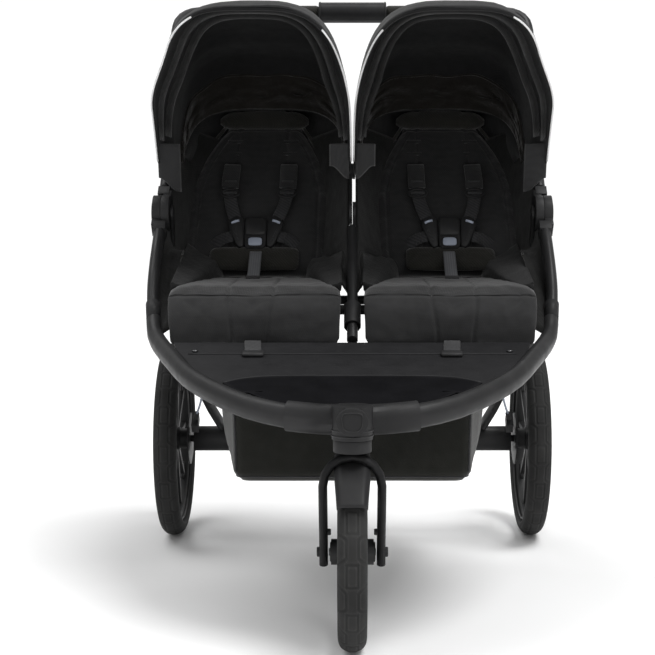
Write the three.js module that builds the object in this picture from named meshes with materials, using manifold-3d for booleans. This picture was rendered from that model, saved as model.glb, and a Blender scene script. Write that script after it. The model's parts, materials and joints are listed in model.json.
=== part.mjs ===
// Double jogging stroller: two seats side by side, one swivelling front wheel, two rear wheels.
// Millimetres. +Z is up, the front faces -Y, and the origin is the middle of the footprint on the ground.
// Places are written as (x, distance behind the front axle, height) and turned into the row frame by at().

import * as THREE from "three";
import { mergeVertices } from "three/addons/utils/BufferGeometryUtils.js";
import Module from "manifold-3d";

const wasm = await Module();
wasm.setup();

// Driving dimensions
const FRONT_WHEEL_R = 153;
const REAR_WHEEL_R = 200;
const WHEELBASE = 800;
const OVERALL_WIDTH = 785;
const REAR_TYRE_WIDTH = 46;
const FRONT_TYRE_WIDTH = 45;
const TUBE_X = 361; // centre plane of the side tubes
const TUBE_HALF_WIDE = 11;
const TUBE_HALF_TALL = 18;
const LOOP_HALF_WIDE = 14;
const LOOP_HALF_TALL = 19;
const TUBE_WALL = 2.5;
const SEAT_X = 172; // middle of each seat cushion
const SEAT_BACK_X = 189; // the backs sit a little further out than the cushions
const SEAT_HALF_WIDTH = 148;
const FOLD = { y: 568, z: 670 }; // axis of the folding hubs
const LEG_PIVOT = { y: 600, z: 503 }; // axis on which the rear legs swing in
const CANOPY_PIVOT = { y: 640, z: 751 };
const BACK_PIVOT = { y: 628, z: 548 };
const HANDLE_PIVOT = { y: 811, z: 984 };
const HANDLEBAR = { y: 880, z: 1083, r: 12.5 };
const SWIVEL_Y = -60; // the front axle trails the swivel axis by this much
const STEM_R = 9; // steering stem of the fork
const TURNING_GAP = 0.4; // clearance between a shaft and its bore, on the radius
const NOSE_HALF_WIDTH = 99;
const GAP = 0.3; // clearance between pieces that touch

const LENGTH = FRONT_WHEEL_R + WHEELBASE + REAR_WHEEL_R;
const FRONT_AXLE_Y = FRONT_WHEEL_R - LENGTH / 2;
const REAR_WHEEL_X = (OVERALL_WIDTH - REAR_TYRE_WIDTH) / 2;

const at = (x, y, z) => new THREE.Vector3(x, FRONT_AXLE_Y + y, z);
const sides = [["left", -1], ["right", 1]];

// Materials
const finish = (color, roughness, metalness) =>
  new THREE.MeshStandardMaterial({ color, roughness, metalness });
const painted = () => finish(0x3a3a3b, 0.45, 0.6);
const plastic = () => finish(0x242426, 0.6, 0);
const lightPlastic = () => finish(0x8a90a0, 0.5, 0);
const rubber = () => finish(0x2f2f30, 0.9, 0);
const fabric = () => finish(0x1c1c1d, 0.95, 0);
const steel = () => finish(0x9a9b9d, 0.35, 0.9);

const stroller = new THREE.Group();

function add(name, geometry, material) {
  const mesh = new THREE.Mesh(geometry, material);
  mesh.name = name;
  stroller.add(mesh);
}

// Solids from rings of points

function signedVolume(position, index) {
  const a = new THREE.Vector3();
  const b = new THREE.Vector3();
  const c = new THREE.Vector3();
  let volume = 0;
  for (let i = 0; i < index.length; i += 3) {
    a.fromArray(position, 3 * index[i]);
    b.fromArray(position, 3 * index[i + 1]);
    c.fromArray(position, 3 * index[i + 2]);
    volume += a.dot(b.cross(c)) / 6;
  }
  return volume;
}

function closedGeometry(points, index) {
  const position = points.flatMap((p) => [p.x, p.y, p.z]);
  const outward = signedVolume(position, index) > 0 ? index : index.slice().reverse();
  const geometry = new THREE.BufferGeometry();
  geometry.setAttribute("position", new THREE.Float32BufferAttribute(position, 3));
  geometry.setIndex(outward);
  return geometry;
}

function capTriangles(ring) {
  const centre = ring.reduce((s, p) => s.add(p), new THREE.Vector3()).divideScalar(ring.length);
  const normal = new THREE.Vector3();
  ring.forEach((p, i) => {
    const next = ring[(i + 1) % ring.length];
    normal.add(p.clone().sub(centre).cross(next.clone().sub(centre)));
  });
  normal.normalize();
  const u = ring[0].clone().sub(centre).projectOnPlane(normal).normalize();
  const v = normal.clone().cross(u);
  const flat = ring.map((p) => {
    const d = p.clone().sub(centre);
    return new THREE.Vector2(d.dot(u), d.dot(v));
  });
  return THREE.ShapeUtils.triangulateShape(flat, []);
}

// A solid through rings of equally many points, closed at both ends.
function loft(rings) {
  const n = rings[0].length;
  const index = [];
  for (let k = 0; k + 1 < rings.length; k++) {
    for (let i = 0; i < n; i++) {
      const j = (i + 1) % n;
      const a = k * n + i;
      const b = k * n + j;
      index.push(a, b, b + n, a, b + n, a + n);
    }
  }
  const last = (rings.length - 1) * n;
  for (const [a, b, c] of capTriangles(rings[0])) index.push(a, c, b);
  for (const [a, b, c] of capTriangles(rings.at(-1))) index.push(last + a, last + b, last + c);
  return closedGeometry(rings.flat(), index);
}

// Rings of an oval section along a path. `up` fixes which way the tall side points.
function ovalRings(path, halfWide, halfTall, up, count = 12) {
  return path.map((p, k) => {
    const before = path[Math.max(k - 1, 0)];
    const after = path[Math.min(k + 1, path.length - 1)];
    const along = after.clone().sub(before).normalize();
    const across = along.clone().cross(up).normalize();
    const tall = across.clone().cross(along);
    return Array.from({ length: count }, (_, i) => {
      const angle = (2 * Math.PI * (i + 0.5)) / count;
      return p.clone()
        .addScaledVector(across, halfWide * Math.cos(angle))
        .addScaledVector(tall, halfTall * Math.sin(angle));
    });
  });
}

const rod = (path, halfWide, halfTall, up, count) => loft(ovalRings(path, halfWide, halfTall, up, count));

// An open-ended pipe of an oval section.
function pipe(path, halfWide, halfTall, up, wall = TUBE_WALL, count = 12) {
  const outer = ovalRings(path, halfWide, halfTall, up, count);
  const inner = ovalRings(path, halfWide - wall, halfTall - wall, up, count);
  const around = [...outer, ...inner.reverse()];
  const index = [];
  for (let k = 0; k < around.length; k++) {
    const next = (k + 1) % around.length;
    for (let i = 0; i < count; i++) {
      const j = (i + 1) % count;
      const a = k * count + i;
      const b = k * count + j;
      const c = next * count + j;
      const d = next * count + i;
      index.push(a, b, c, a, c, d);
    }
  }
  return closedGeometry(around.flat(), index);
}

const smooth = (points, steps) => new THREE.CatmullRomCurve3(points, false, "centripetal").getPoints(steps);

// Solids of revolution and cylinders about an axis along X, Y or Z through a centre.
const turnTo = { x: [0, 0, -Math.PI / 2], y: [0, 0, 0], z: [Math.PI / 2, 0, 0] };

function turned(profile, axis, centre, segments) {
  const points = profile.map(([radius, along]) => new THREE.Vector2(radius, along));
  const geometry = new THREE.LatheGeometry(points, segments);
  geometry.rotateX(turnTo[axis][0]).rotateZ(turnTo[axis][2]);
  return geometry.translate(centre.x, centre.y, centre.z);
}

function disc(axis, centre, radius, length, segments = 24) {
  const half = length / 2;
  return turned([[0, -half], [radius, -half], [radius, half], [0, half]], axis, centre, segments);
}

function ring(axis, centre, inner, outer, length, segments = 24) {
  const half = length / 2;
  const profile = [[inner, -half], [outer, -half], [outer, half], [inner, half], [inner, -half]];
  return turned(profile, axis, centre, segments);
}

// Joining and cutting

function toSolid(geometry) {
  const bare = geometry.clone();
  bare.deleteAttribute("normal");
  bare.deleteAttribute("uv");
  const merged = mergeVertices(bare, 1e-3);
  return new wasm.Manifold(new wasm.Mesh({
    numProp: 3,
    vertProperties: new Float32Array(merged.attributes.position.array),
    triVerts: new Uint32Array(merged.index.array),
  }));
}

function toGeometry(solid) {
  const mesh = solid.getMesh();
  const geometry = new THREE.BufferGeometry();
  geometry.setAttribute("position", new THREE.Float32BufferAttribute(mesh.vertProperties, 3));
  geometry.setIndex(Array.from(mesh.triVerts));
  return geometry;
}

const joined = (...parts) => toGeometry(parts.map(toSolid).reduce((a, b) => a.add(b)));
const cut = (body, ...tools) => toGeometry(tools.map(toSolid).reduce((a, b) => a.subtract(b), toSolid(body)));

// A flat bar in a plane of constant x, from one (y, z) place to another.
function bar(x, thickness, from, to, width) {
  const path = [at(x, from.y, from.z), at(x, to.y, to.z)];
  const along = path[1].clone().sub(path[0]).normalize();
  const tall = along.clone().cross(new THREE.Vector3(1, 0, 0));
  return loft(path.map((p) =>
    [[-1, -1], [1, -1], [1, 1], [-1, 1]].map(([i, j]) =>
      new THREE.Vector3(p.x + (i * thickness) / 2, p.y, p.z).addScaledVector(tall, (j * width) / 2))));
}

const polar = (centre, degrees, radius) => ({
  y: centre.y + radius * Math.cos(THREE.MathUtils.degToRad(degrees)),
  z: centre.z + radius * Math.sin(THREE.MathUtils.degToRad(degrees)),
});

const UP = new THREE.Vector3(0, 0, 1);
const SIDEWAYS = new THREE.Vector3(1, 0, 0);
const BACKWARDS = new THREE.Vector3(0, 1, 0);

// Lower frame: nose, the two halves of the front loop, side tubes, rails

const LOWER_TUBE_ANGLE = 220.8; // direction of the side tube seen from the folding axis
const UPPER_TUBE_ANGLE = 42.6;
const HUB_R = 34;
const ARM_END = 59.7; // the tubes start this far from the folding axis

const LOOP_ROUTE = [[62, -44], [99, -34], [162, 6], [222, 73], [266, 139], [300, 219], [335, 310]];
const loopHeight = (y) => 365 + 0.216 * (y + 60);

function loopPath(side) {
  const flat = LOOP_ROUTE.map(([x, y]) => at(side * x, y, loopHeight(y)));
  const rise = [at(side * 348, 350, 458), at(side * 354, 379, 481)];
  return smooth([...flat, ...rise], 16);
}

const frontLoop = (side) => pipe(loopPath(side), LOOP_HALF_WIDE, LOOP_HALF_TALL, UP);

function sideTube(side) {
  const end = polar(FOLD, LOWER_TUBE_ANGLE, ARM_END + GAP);
  const route = [at(side * 356, 391, 495), at(side * 360, 416, 525), at(side * TUBE_X, 450, 566),
    at(side * TUBE_X, end.y, end.z)];
  return pipe(smooth(route, 8), TUBE_HALF_TALL, TUBE_HALF_WIDE, SIDEWAYS);
}

// The outer half belongs to the lower frame and the inner half to the upper frame.
function hubHalf(side, outer, degrees) {
  const x = TUBE_X + (outer ? 8 : -8);
  const plate = disc("x", at(side * x, FOLD.y, FOLD.z), HUB_R, 15.4, 32);
  const neck = bar(side * x, 15.4, FOLD, polar(FOLD, degrees, ARM_END - 12), 30);
  const arm = bar(side * TUBE_X, 2 * TUBE_HALF_WIDE, polar(FOLD, degrees, HUB_R + 4),
    polar(FOLD, degrees, ARM_END), 32);
  return joined(plate, neck, arm);
}

// The tubes of the loop end in sockets in the bracket, and the steering stem turns in its barrel.
function noseBracket() {
  const path = smooth([at(-NOSE_HALF_WIDTH, -34, 371), at(-50, -46, 368), at(0, -50, 367), at(50, -46, 368),
    at(NOSE_HALF_WIDTH, -34, 371)], 8);
  const wings = rod(path, LOOP_HALF_WIDE + 4, LOOP_HALF_TALL + 4.5, UP, 16);
  const barrel = disc("z", at(0, SWIVEL_Y, 365), 31, 50, 28);
  const bore = disc("z", at(0, SWIVEL_Y, 355), STEM_R + TURNING_GAP, 60, 20);
  const sockets = sides.map(([, side]) => {
    const tube = loopPath(side).slice(0, 5);
    const deeper = tube[0].clone().lerp(tube[1], -0.05);
    return rod([deeper, ...tube.slice(1)], LOOP_HALF_WIDE + 2 * GAP, LOOP_HALF_TALL + 2 * GAP, UP);
  });
  return cut(joined(wings, barrel), bore, ...sockets);
}

// The plate fills the loop: its outline is the loop's route moved inwards.
function footplate() {
  const inwards = LOOP_HALF_WIDE + 3;
  const route = smooth([...LOOP_ROUTE.map(([x, y]) => new THREE.Vector3(x, y, 0))], 12);
  const edge = route.slice(1).map((p, k) => {
    const along = p.clone().sub(route[k]).normalize();
    return [p.x - along.y * inwards, p.y + along.x * inwards];
  });
  const right = [[0, -25], [50, -22], [92, -12], ...edge.filter(([x, y]) => x > 100 && y < 300), [309, 306]];
  const whole = [...right, ...right.slice(1).reverse().map(([x, y]) => [-x, y])];
  const layer = (inset, lift) => whole.map(([x, y]) => at(x - Math.sign(x) * inset, y, loopHeight(y) + lift));
  return loft([layer(4, -7), layer(0, -4), layer(0, 5)]);
}

function centreTube() {
  const end = polar(FOLD, LOWER_TUBE_ANGLE, 44);
  const route = smooth([at(0, 330, 451), at(0, 380, 500), at(0, 450, 564), at(0, end.y, end.z)], 8);
  const plate = disc("x", at(3.1, FOLD.y, FOLD.z), 22, 5.6, 24);
  const neck = bar(3.1, 5.6, FOLD, polar(FOLD, LOWER_TUBE_ANGLE, 50), 22);
  return joined(rod(route, 12, 10, SIDEWAYS, 12), plate, neck);
}

function centrePost() {
  const plate = disc("x", at(-3.1, FOLD.y, FOLD.z), 22, 5.6, 24);
  const post = bar(-3.1, 5.6, FOLD, CANOPY_PIVOT, 20);
  const crown = disc("x", at(0, CANOPY_PIVOT.y, CANOPY_PIVOT.z), 15, 9.2, 24);
  return joined(plate, post, crown);
}

function foldSleeve() {
  const path = [at(0, 352, 473), at(0, 388, 507)];
  return pipe(path, 17, 15.5, SIDEWAYS, 3.5, 12);
}

for (const [name, side] of sides) {
  add(`front_loop_${name}`, frontLoop(side), painted());
  add(`side_tube_${name}`, sideTube(side), painted());
  add(`fold_hub_outer_${name}`, hubHalf(side, true, LOWER_TUBE_ANGLE), plastic());
  add(`fold_hub_inner_${name}`, hubHalf(side, false, UPPER_TUBE_ANGLE), plastic());
}
add("nose_bracket", noseBracket(), plastic());
add("head_ring", ring("z", at(0, SWIVEL_Y, 330), STEM_R + TURNING_GAP, 29, 18.8, 28), plastic());
add("footplate", footplate(), plastic());
add("centre_tube", centreTube(), painted());
add("centre_post", centrePost(), painted());
add("fold_sleeve", foldSleeve(), plastic());

// Upper frame and handlebar

function upperTube(side) {
  const start = polar(FOLD, UPPER_TUBE_ANGLE, ARM_END + 1.5);
  const route = [at(side * TUBE_X, start.y, start.z), at(side * TUBE_X, 642, 738), at(side * TUBE_X, 700, 820),
    at(side * TUBE_X, 788, 950.5)];
  return pipe(smooth(route, 10), TUBE_HALF_TALL - 1, TUBE_HALF_WIDE, SIDEWAYS);
}

const HANDLE_ANGLE = 55.3;

function handleHub(side, outer) {
  const x = TUBE_X + (outer ? 6 : -6);
  const degrees = outer ? HANDLE_ANGLE + 180 : HANDLE_ANGLE;
  const plate = disc("x", at(side * x, HANDLE_PIVOT.y, HANDLE_PIVOT.z), 24, 11.4, 28);
  const neck = bar(side * x, 11.4, HANDLE_PIVOT, polar(HANDLE_PIVOT, degrees, 36), 30);
  const arm = bar(side * TUBE_X, 22, polar(HANDLE_PIVOT, degrees, 28), polar(HANDLE_PIVOT, degrees, 39.5), 32);
  return joined(plate, neck, arm);
}

// The inner hub halves are moulded on the ends of the handlebar.
function handlebar() {
  const start = polar(HANDLE_PIVOT, HANDLE_ANGLE, 34);
  const half = [at(TUBE_X, start.y, start.z), at(TUBE_X, 853, 1044), at(355, 868, 1066), at(335, 877, 1079),
    at(300, HANDLEBAR.y, HANDLEBAR.z), at(120, HANDLEBAR.y, HANDLEBAR.z)];
  const mirrored = half.slice().reverse().map((p) => p.clone().setX(-p.x));
  const corner = smooth(half.slice(0, 5), 9);
  const path = [...corner, half[5], mirrored[0], ...corner.slice().reverse().map((p) => p.clone().setX(-p.x))];
  const bow = rod(path, HANDLEBAR.r, HANDLEBAR.r, new THREE.Vector3(0, -0.82, 0.57), 12);
  return joined(bow, handleHub(-1, false), handleHub(1, false));
}

for (const [name, side] of sides) {
  add(`upper_tube_${name}`, upperTube(side), painted());
  add(`handle_hub_outer_${name}`, handleHub(side, true), plastic());
}
add("handlebar", handlebar(), painted());
const GRIP_BORE = HANDLEBAR.r + 0.5;
add("brake_grip", ring("x", at(0, HANDLEBAR.y, HANDLEBAR.z), GRIP_BORE, 21, 132, 28), rubber());

// Rear frame: legs, axle beam, brakes

function rearLeg(side) {
  const route = smooth([at(side * 330, LEG_PIVOT.y, LEG_PIVOT.z), at(side * 326, 660, 412), at(side * 300, 738, 296),
    at(side * 272, 787, 231)], 9);
  const eye = disc("x", at(side * 330, LEG_PIVOT.y, LEG_PIVOT.z), 18, 17, 24);
  return joined(rod(route, 16, 8, SIDEWAYS, 12), eye);
}

const AXLE_R = 7;

function axleBeam() {
  const path = [-330, -250, 250, 330].map((x) => at(x, WHEELBASE, REAR_WHEEL_R));
  const stubs = sides.map(([, side]) => disc("x", at(side * 352, WHEELBASE, REAR_WHEEL_R), AXLE_R, 56, 20));
  return joined(rod(path, 17, 26, UP, 16), ...stubs);
}

add("seat_rail_front", rod([at(-349.5, 430, 497), at(349.5, 430, 497)], 9, 9, UP, 12), painted());
add("seat_rail_rear", rod([at(-320.5, LEG_PIVOT.y, LEG_PIVOT.z), at(320.5, LEG_PIVOT.y, LEG_PIVOT.z)], 9, 9, UP, 12),
  painted());
add("rear_axle_beam", axleBeam(), painted());

// A flat link that carries the rear seat rail and the legs from the folding hub.
function seatLink(side) {
  const x = side * 342;
  const thickness = 5.4;
  const eye = (pivot) => disc("x", at(x, pivot.y, pivot.z), 16, thickness);
  return joined(bar(x, thickness, FOLD, LEG_PIVOT, 24), eye(FOLD), eye(LEG_PIVOT));
}

const brakeCaliper = (side) => bar(side * 322.5, 14, { y: 764, z: 232 }, { y: 744, z: 250 }, 34);

for (const [name, side] of sides) {
  add(`seat_link_${name}`, seatLink(side), painted());
  add(`rear_leg_${name}`, rearLeg(side), painted());
  add(`brake_caliper_${name}`, brakeCaliper(side), plastic());
}

// Wheels

function tyreProfile(outer, width, depth) {
  const half = width / 2;
  const points = [];
  const steps = 6;
  for (let i = 0; i <= steps; i++) {
    const angle = (Math.PI * i) / steps;
    points.push([outer - depth + depth * Math.sin(angle) ** 0.8, -half * Math.cos(angle)]);
  }
  points.push([outer - depth - 3, half - 6], [outer - depth - 3, -half + 6], points[0]);
  return points;
}

function wheelRim(centre, outer, halfWidth, hubR, hubLength, bore, spokes) {
  const inner = outer - 16;
  const hoop = turned([[inner, -halfWidth + 5], [outer - 4, -halfWidth], [outer, -halfWidth + 4],
    [outer, halfWidth - 4], [outer - 4, halfWidth], [inner, halfWidth - 5], [inner, -halfWidth + 5]], "x", centre, 36);
  const hub = disc("x", centre, hubR, hubLength, 20);
  const legs = [];
  for (let i = 0; i < spokes; i++) {
    for (const lean of [-1, 1]) {
      const angle = (2 * Math.PI * i) / spokes;
      const reach = outer - 12;
      const spoke = new THREE.BoxGeometry(9, 10, reach - hubR + 8);
      spoke.translate(0, 0, (reach + hubR - 8) / 2).rotateX(lean * 0.27);
      spoke.rotateX(angle).translate(centre.x, centre.y, centre.z);
      legs.push(spoke);
    }
  }
  return cut(joined(hoop, hub, ...legs), disc("x", centre, bore, hubLength + 20, 16));
}

const TYRE_DEPTH = 24;

for (const [name, side] of sides) {
  const centre = at(side * REAR_WHEEL_X, WHEELBASE, REAR_WHEEL_R);
  const tyre = turned(tyreProfile(REAR_WHEEL_R, REAR_TYRE_WIDTH, TYRE_DEPTH), "x", centre, 36);
  add(`rear_tyre_${name}`, tyre, rubber());
  const rimR = REAR_WHEEL_R - TYRE_DEPTH - 3 - GAP;
  const hubCentre = centre.clone().setX(side * 363);
  const rim = wheelRim(centre, rimR, 15, 24, 20, AXLE_R + TURNING_GAP, 5);
  const barrel = ring("x", hubCentre, AXLE_R + TURNING_GAP, 21, 39, 16);
  add(`rear_rim_${name}`, joined(rim, barrel), plastic());
  add(`brake_disc_${name}`, ring("x", at(side * 338.5, WHEELBASE, REAR_WHEEL_R), AXLE_R + TURNING_GAP, 54, 3, 28), steel());
  add(`axle_button_${name}`, disc("x", at(side * 387.4, WHEELBASE, REAR_WHEEL_R), 6.5, 5.2), plastic());
}
const frontCentre = at(0, 0, FRONT_WHEEL_R);
add("front_tyre", turned(tyreProfile(FRONT_WHEEL_R, FRONT_TYRE_WIDTH, TYRE_DEPTH), "x", frontCentre, 36), rubber());
const FRONT_AXLE_R = 6;
add("front_rim", wheelRim(frontCentre, FRONT_WHEEL_R - TYRE_DEPTH - 3 - GAP, 14, 20, 66, FRONT_AXLE_R + TURNING_GAP, 5), plastic());
add("front_axle", disc("x", frontCentre, FRONT_AXLE_R, 73), steel());

// Fork

const FORK_X = 44.5;

// A flat inverted U, with the steering stem on its crown.
function fork() {
  const arch = [];
  for (let i = 0; i <= 8; i++) {
    const angle = (Math.PI * i) / 8;
    arch.push(at(FORK_X * Math.cos(angle), SWIVEL_Y, 268.5 + FORK_X * Math.sin(angle)));
  }
  const leg = (x) => [at(x, 0, 133), at(x, -1, 160), at(x, -24, 200), at(x, -52, 248)];
  const path = [...leg(FORK_X), ...arch, ...leg(-FORK_X).reverse()];
  const stem = disc("z", at(0, SWIVEL_Y, 347), STEM_R, 64);
  return joined(rod(path, 7, 13, BACKWARDS, 12), stem);
}

function mudguard() {
  const line = [[-78, 315, 28], [-85, 298, 28], [-104, 276, 26], [-128, 250, 23]];
  return loft(line.map(([y, z, half]) => {
    const out = new THREE.Vector3(0, y, z - FRONT_WHEEL_R).normalize().multiplyScalar(3);
    const inner = [at(-half, y, z), at(0, y, z + 1), at(half, y, z)];
    return [...inner, ...inner.map((p) => p.clone().add(out)).reverse()];
  }));
}

add("fork", fork(), painted());
add("mudguard", mudguard(), plastic());
add("swivel_lock_knob", rod([at(0, SWIVEL_Y - 31.4, 371), at(0, SWIVEL_Y - 43, 371)], 24, 21, UP, 24), plastic());

// Soft goods

function cushion(xLow, xHigh, stations) {
  const middle = (xLow + xHigh) / 2;
  const half = (xHigh - xLow) / 2;
  return loft(stations.map(({ y, z, thick, ny, nz, narrow = 0 }) => {
    const count = 16;
    return Array.from({ length: count }, (_, i) => {
      const angle = (2 * Math.PI * (i + 0.5)) / count;
      const squareness = (value) => Math.sign(value) * Math.abs(value) ** 0.35;
      const x = middle + (half - narrow) * squareness(Math.cos(angle));
      const out = (thick / 2) * squareness(Math.sin(angle));
      return at(x, y + ny * out, z + nz * out);
    });
  }));
}

const BACK_ANGLE = 56;
const BACK_LENGTH = 408;
const BACK_DEPTH = 22; // the middle of the padding lies this far behind the pivot's plane

const backNormal = polar({ y: 0, z: 0 }, BACK_ANGLE + 90, 1);

// A place by its distance up the seat back and its height above the padding.
function backPlace(along, lift) {
  const p = polar(BACK_PIVOT, BACK_ANGLE, along);
  return { y: p.y + backNormal.y * lift, z: p.z + backNormal.z * lift };
}

function seatBack(side) {
  const lengths = [[8, 30, 6], [30, 40, 0], [200, 44, 0], [320, 42, 4], [370, 38, 24], [BACK_LENGTH, 26, 70]];
  const stations = lengths.map(([along, thick, narrow]) => ({
    ...backPlace(along, -BACK_DEPTH), thick, ny: backNormal.y, nz: backNormal.z, narrow,
  }));
  const low = SEAT_BACK_X - SEAT_HALF_WIDTH + 2;
  const high = SEAT_BACK_X + SEAT_HALF_WIDTH - 4;
  return cushion(side > 0 ? low : -high, side > 0 ? high : -low, stations);
}

// The seat cushion runs level to the front edge and then hangs down as an apron.
function seatCushion(side) {
  const level = (y, thick) => ({ y, z: 528, thick, ny: 0, nz: 1 });
  const hanging = (z, thick) => ({ y: 327, z, thick, ny: -1, nz: 0 });
  const turn = { y: 332, z: 523, thick: 26, ny: -Math.SQRT1_2, nz: Math.SQRT1_2 };
  const stations = [level(612, 20), level(590, 30), level(480, 34), level(352, 30), turn,
    hanging(495, 18), hanging(455, 15), hanging(442, 8)];
  const low = SEAT_X - SEAT_HALF_WIDTH;
  const high = SEAT_X + SEAT_HALF_WIDTH;
  return cushion(side > 0 ? low : -high, side > 0 ? high : -low, stations);
}

function basketBody(inset, floor, rim) {
  const corner = (x, y, r, quarter) => Array.from({ length: 4 }, (_, i) => {
    const angle = (Math.PI / 2) * (quarter + i / 3);
    return [x + r * Math.cos(angle), y + r * Math.sin(angle)];
  });
  const level = (half, front, back, z) => {
    const r = 28;
    const points = [
      ...corner(half - r - inset, back - r - inset, r, 0), ...corner(-half + r + inset, back - r - inset, r, 1),
      ...corner(-half + r + inset, front + r + inset, r, 2), ...corner(half - r - inset, front + r + inset, r, 3),
    ];
    return points.map(([x, y]) => at(x, y, z));
  };
  return loft([level(198, 318, 610, floor), level(215, 303, 622, floor + 14), level(235, 300, 640, 300),
    level(249, 300, 655, rim)]);
}

const BASKET_FLOOR = 203;
const BASKET_RIM = 402;
const basketShell = () => cut(basketBody(0, BASKET_FLOOR, BASKET_RIM), basketBody(5, BASKET_FLOOR + 5, BASKET_RIM + 1));

// Half-superellipse arches about the canopy pivot: [angle, radius, outer x at the foot]
const CANOPY_STATIONS = [[38, 208, 338], [60, 222, 341], [87, 255, 344], [112, 314, 346], [129, 381, 347],
  [140.3, 442, 347]];
const CANOPY_THICK = 3;
const CANOPY_FOOT_X = 7;

function archPoints(radius, outerX, inset, degrees, count, foot = 0.06) {
  const middle = (CANOPY_FOOT_X + outerX) / 2;
  const half = (outerX - CANOPY_FOOT_X) / 2 - inset;
  const power = 2 / 2.9;
  return Array.from({ length: count + 1 }, (_, i) => {
    const angle = foot + ((Math.PI - 2 * foot) * i) / count;
    const c = Math.cos(angle);
    const place = polar(CANOPY_PIVOT, degrees, (radius - inset) * Math.sin(angle) ** power);
    return at(middle - half * Math.sign(c) * Math.abs(c) ** power, place.y, place.z);
  });
}

const mirror = (points, side) => points.map((p) => p.clone().setX(side * p.x));

function canopyShell(side) {
  return loft(CANOPY_STATIONS.map(([degrees, radius, outerX]) => {
    const outer = archPoints(radius, outerX, 0, degrees, 12);
    const inner = archPoints(radius, outerX, CANOPY_THICK, degrees, 12);
    return mirror([...outer, ...inner.reverse()], side);
  }));
}

// The front bow reaches down to the two pivots.
function canopyBow(side) {
  const [, radius, outerX] = CANOPY_STATIONS.at(-1);
  const foot = 0.01;
  const arch = loft([142, 145].map((degrees) => {
    const outer = archPoints(radius + 1, outerX, 0, degrees, 16, foot);
    const inner = archPoints(radius + 1, outerX, 8, degrees, 16, foot);
    return mirror([...outer, ...inner.reverse()], side);
  }));
  const eyes = [CANOPY_FOOT_X + 3, outerX - 3].map((x) =>
    disc("x", at(side * x, CANOPY_PIVOT.y, CANOPY_PIVOT.z), 22, 6, 24));
  return joined(arch, ...eyes);
}

const STRAP_SPREAD = 57; // shoulder straps, from the middle of the back
const STRAP_HALF_WIDE = 13;
const STRAP_LIFT = 1.5; // clearance between the straps and the padding

// Two shoulder straps, joined across the waist by the belt that passes under the buckle.
function harness(side) {
  const strap = (offset) => loft([[88, 4.5], [140, 8], [215, 8], [262, 6]].map(([along, lift]) => {
    const x = side * SEAT_BACK_X + offset;
    const low = backPlace(along, STRAP_LIFT);
    const high = backPlace(along, lift);
    return [at(x - STRAP_HALF_WIDE, low.y, low.z), at(x + STRAP_HALF_WIDE, low.y, low.z),
      at(x + STRAP_HALF_WIDE - 2, high.y, high.z), at(x - STRAP_HALF_WIDE + 2, high.y, high.z)];
  }));
  const reach = STRAP_SPREAD + STRAP_HALF_WIDE;
  const belt = loft([-reach, reach].map((offset) =>
    [[88, STRAP_LIFT], [112, STRAP_LIFT], [112, 4.5], [88, 4.5]].map(([along, lift]) => {
      const p = backPlace(along, lift);
      return at(side * SEAT_BACK_X + offset, p.y, p.z);
    })));
  return joined(strap(-STRAP_SPREAD), strap(STRAP_SPREAD), belt);
}

const BUCKLE_BUTTON_AT = 70;
const BUCKLE_FOOT = 55;

// An oval peg square to the seat back, between two heights above it.
function buttonRod(side, low, high, clearance) {
  const ends = [low, high].map((lift) => {
    const p = backPlace(BUCKLE_BUTTON_AT, lift);
    return at(side * SEAT_BACK_X, p.y, p.z);
  });
  return rod(ends, 12 + clearance, 8 + clearance, UP, 16);
}

// The buckle has a pocket for its release button.
function buckle(side) {
  const body = loft([[BUCKLE_FOOT, 17], [64, 22], [112, 23], [130, 17]].map(([along, half]) => {
    const low = backPlace(along, 5);
    const high = backPlace(along, 20);
    const x = side * SEAT_BACK_X;
    return [at(x - half, low.y, low.z), at(x + half, low.y, low.z), at(x + half - 3, high.y, high.z),
      at(x - half + 3, high.y, high.z)];
  }));
  return cut(body, buttonRod(side, 9, 24, TURNING_GAP));
}

const buckleButton = (side) => buttonRod(side, 13, 21.5, 0);

// From the front edge of the hip pad up to the foot of the buckle.
function crotchStrap(side) {
  const end = backPlace(BUCKLE_FOOT - 2, 12);
  const route = [[556, 547.5], [582, 553], [612, 570], [end.y, end.z]];
  const path = smooth(route.map(([y, z]) => at(side * SEAT_BACK_X, y, z)), 8);
  return rod(path, 2, 12, SIDEWAYS, 8);
}

add("cargo_basket", basketShell(), fabric());
for (const [name, side] of sides) {
  add(`seat_cushion_${name}`, seatCushion(side), fabric());
  add(`seat_back_${name}`, seatBack(side), fabric());
  add(`harness_${name}`, harness(side), fabric());
  add(`buckle_${name}`, buckle(side), plastic());
  add(`buckle_button_${name}`, buckleButton(side), lightPlastic());
  add(`crotch_strap_${name}`, crotchStrap(side), fabric());
  add(`canopy_fabric_${name}`, canopyShell(side), fabric());
  add(`canopy_bow_${name}`, canopyBow(side), plastic());
}

export default stroller;
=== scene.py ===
# The looks of a double jogging stroller, built round its CAD frame. Metres, +Z up, the front faces -Y.
# Places are written in millimetres as (x, distance behind the front axle, height) and converted by at().

import json
import math

import bmesh
import bpy
import numpy as np
from mathutils import Matrix, Vector, noise


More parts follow.
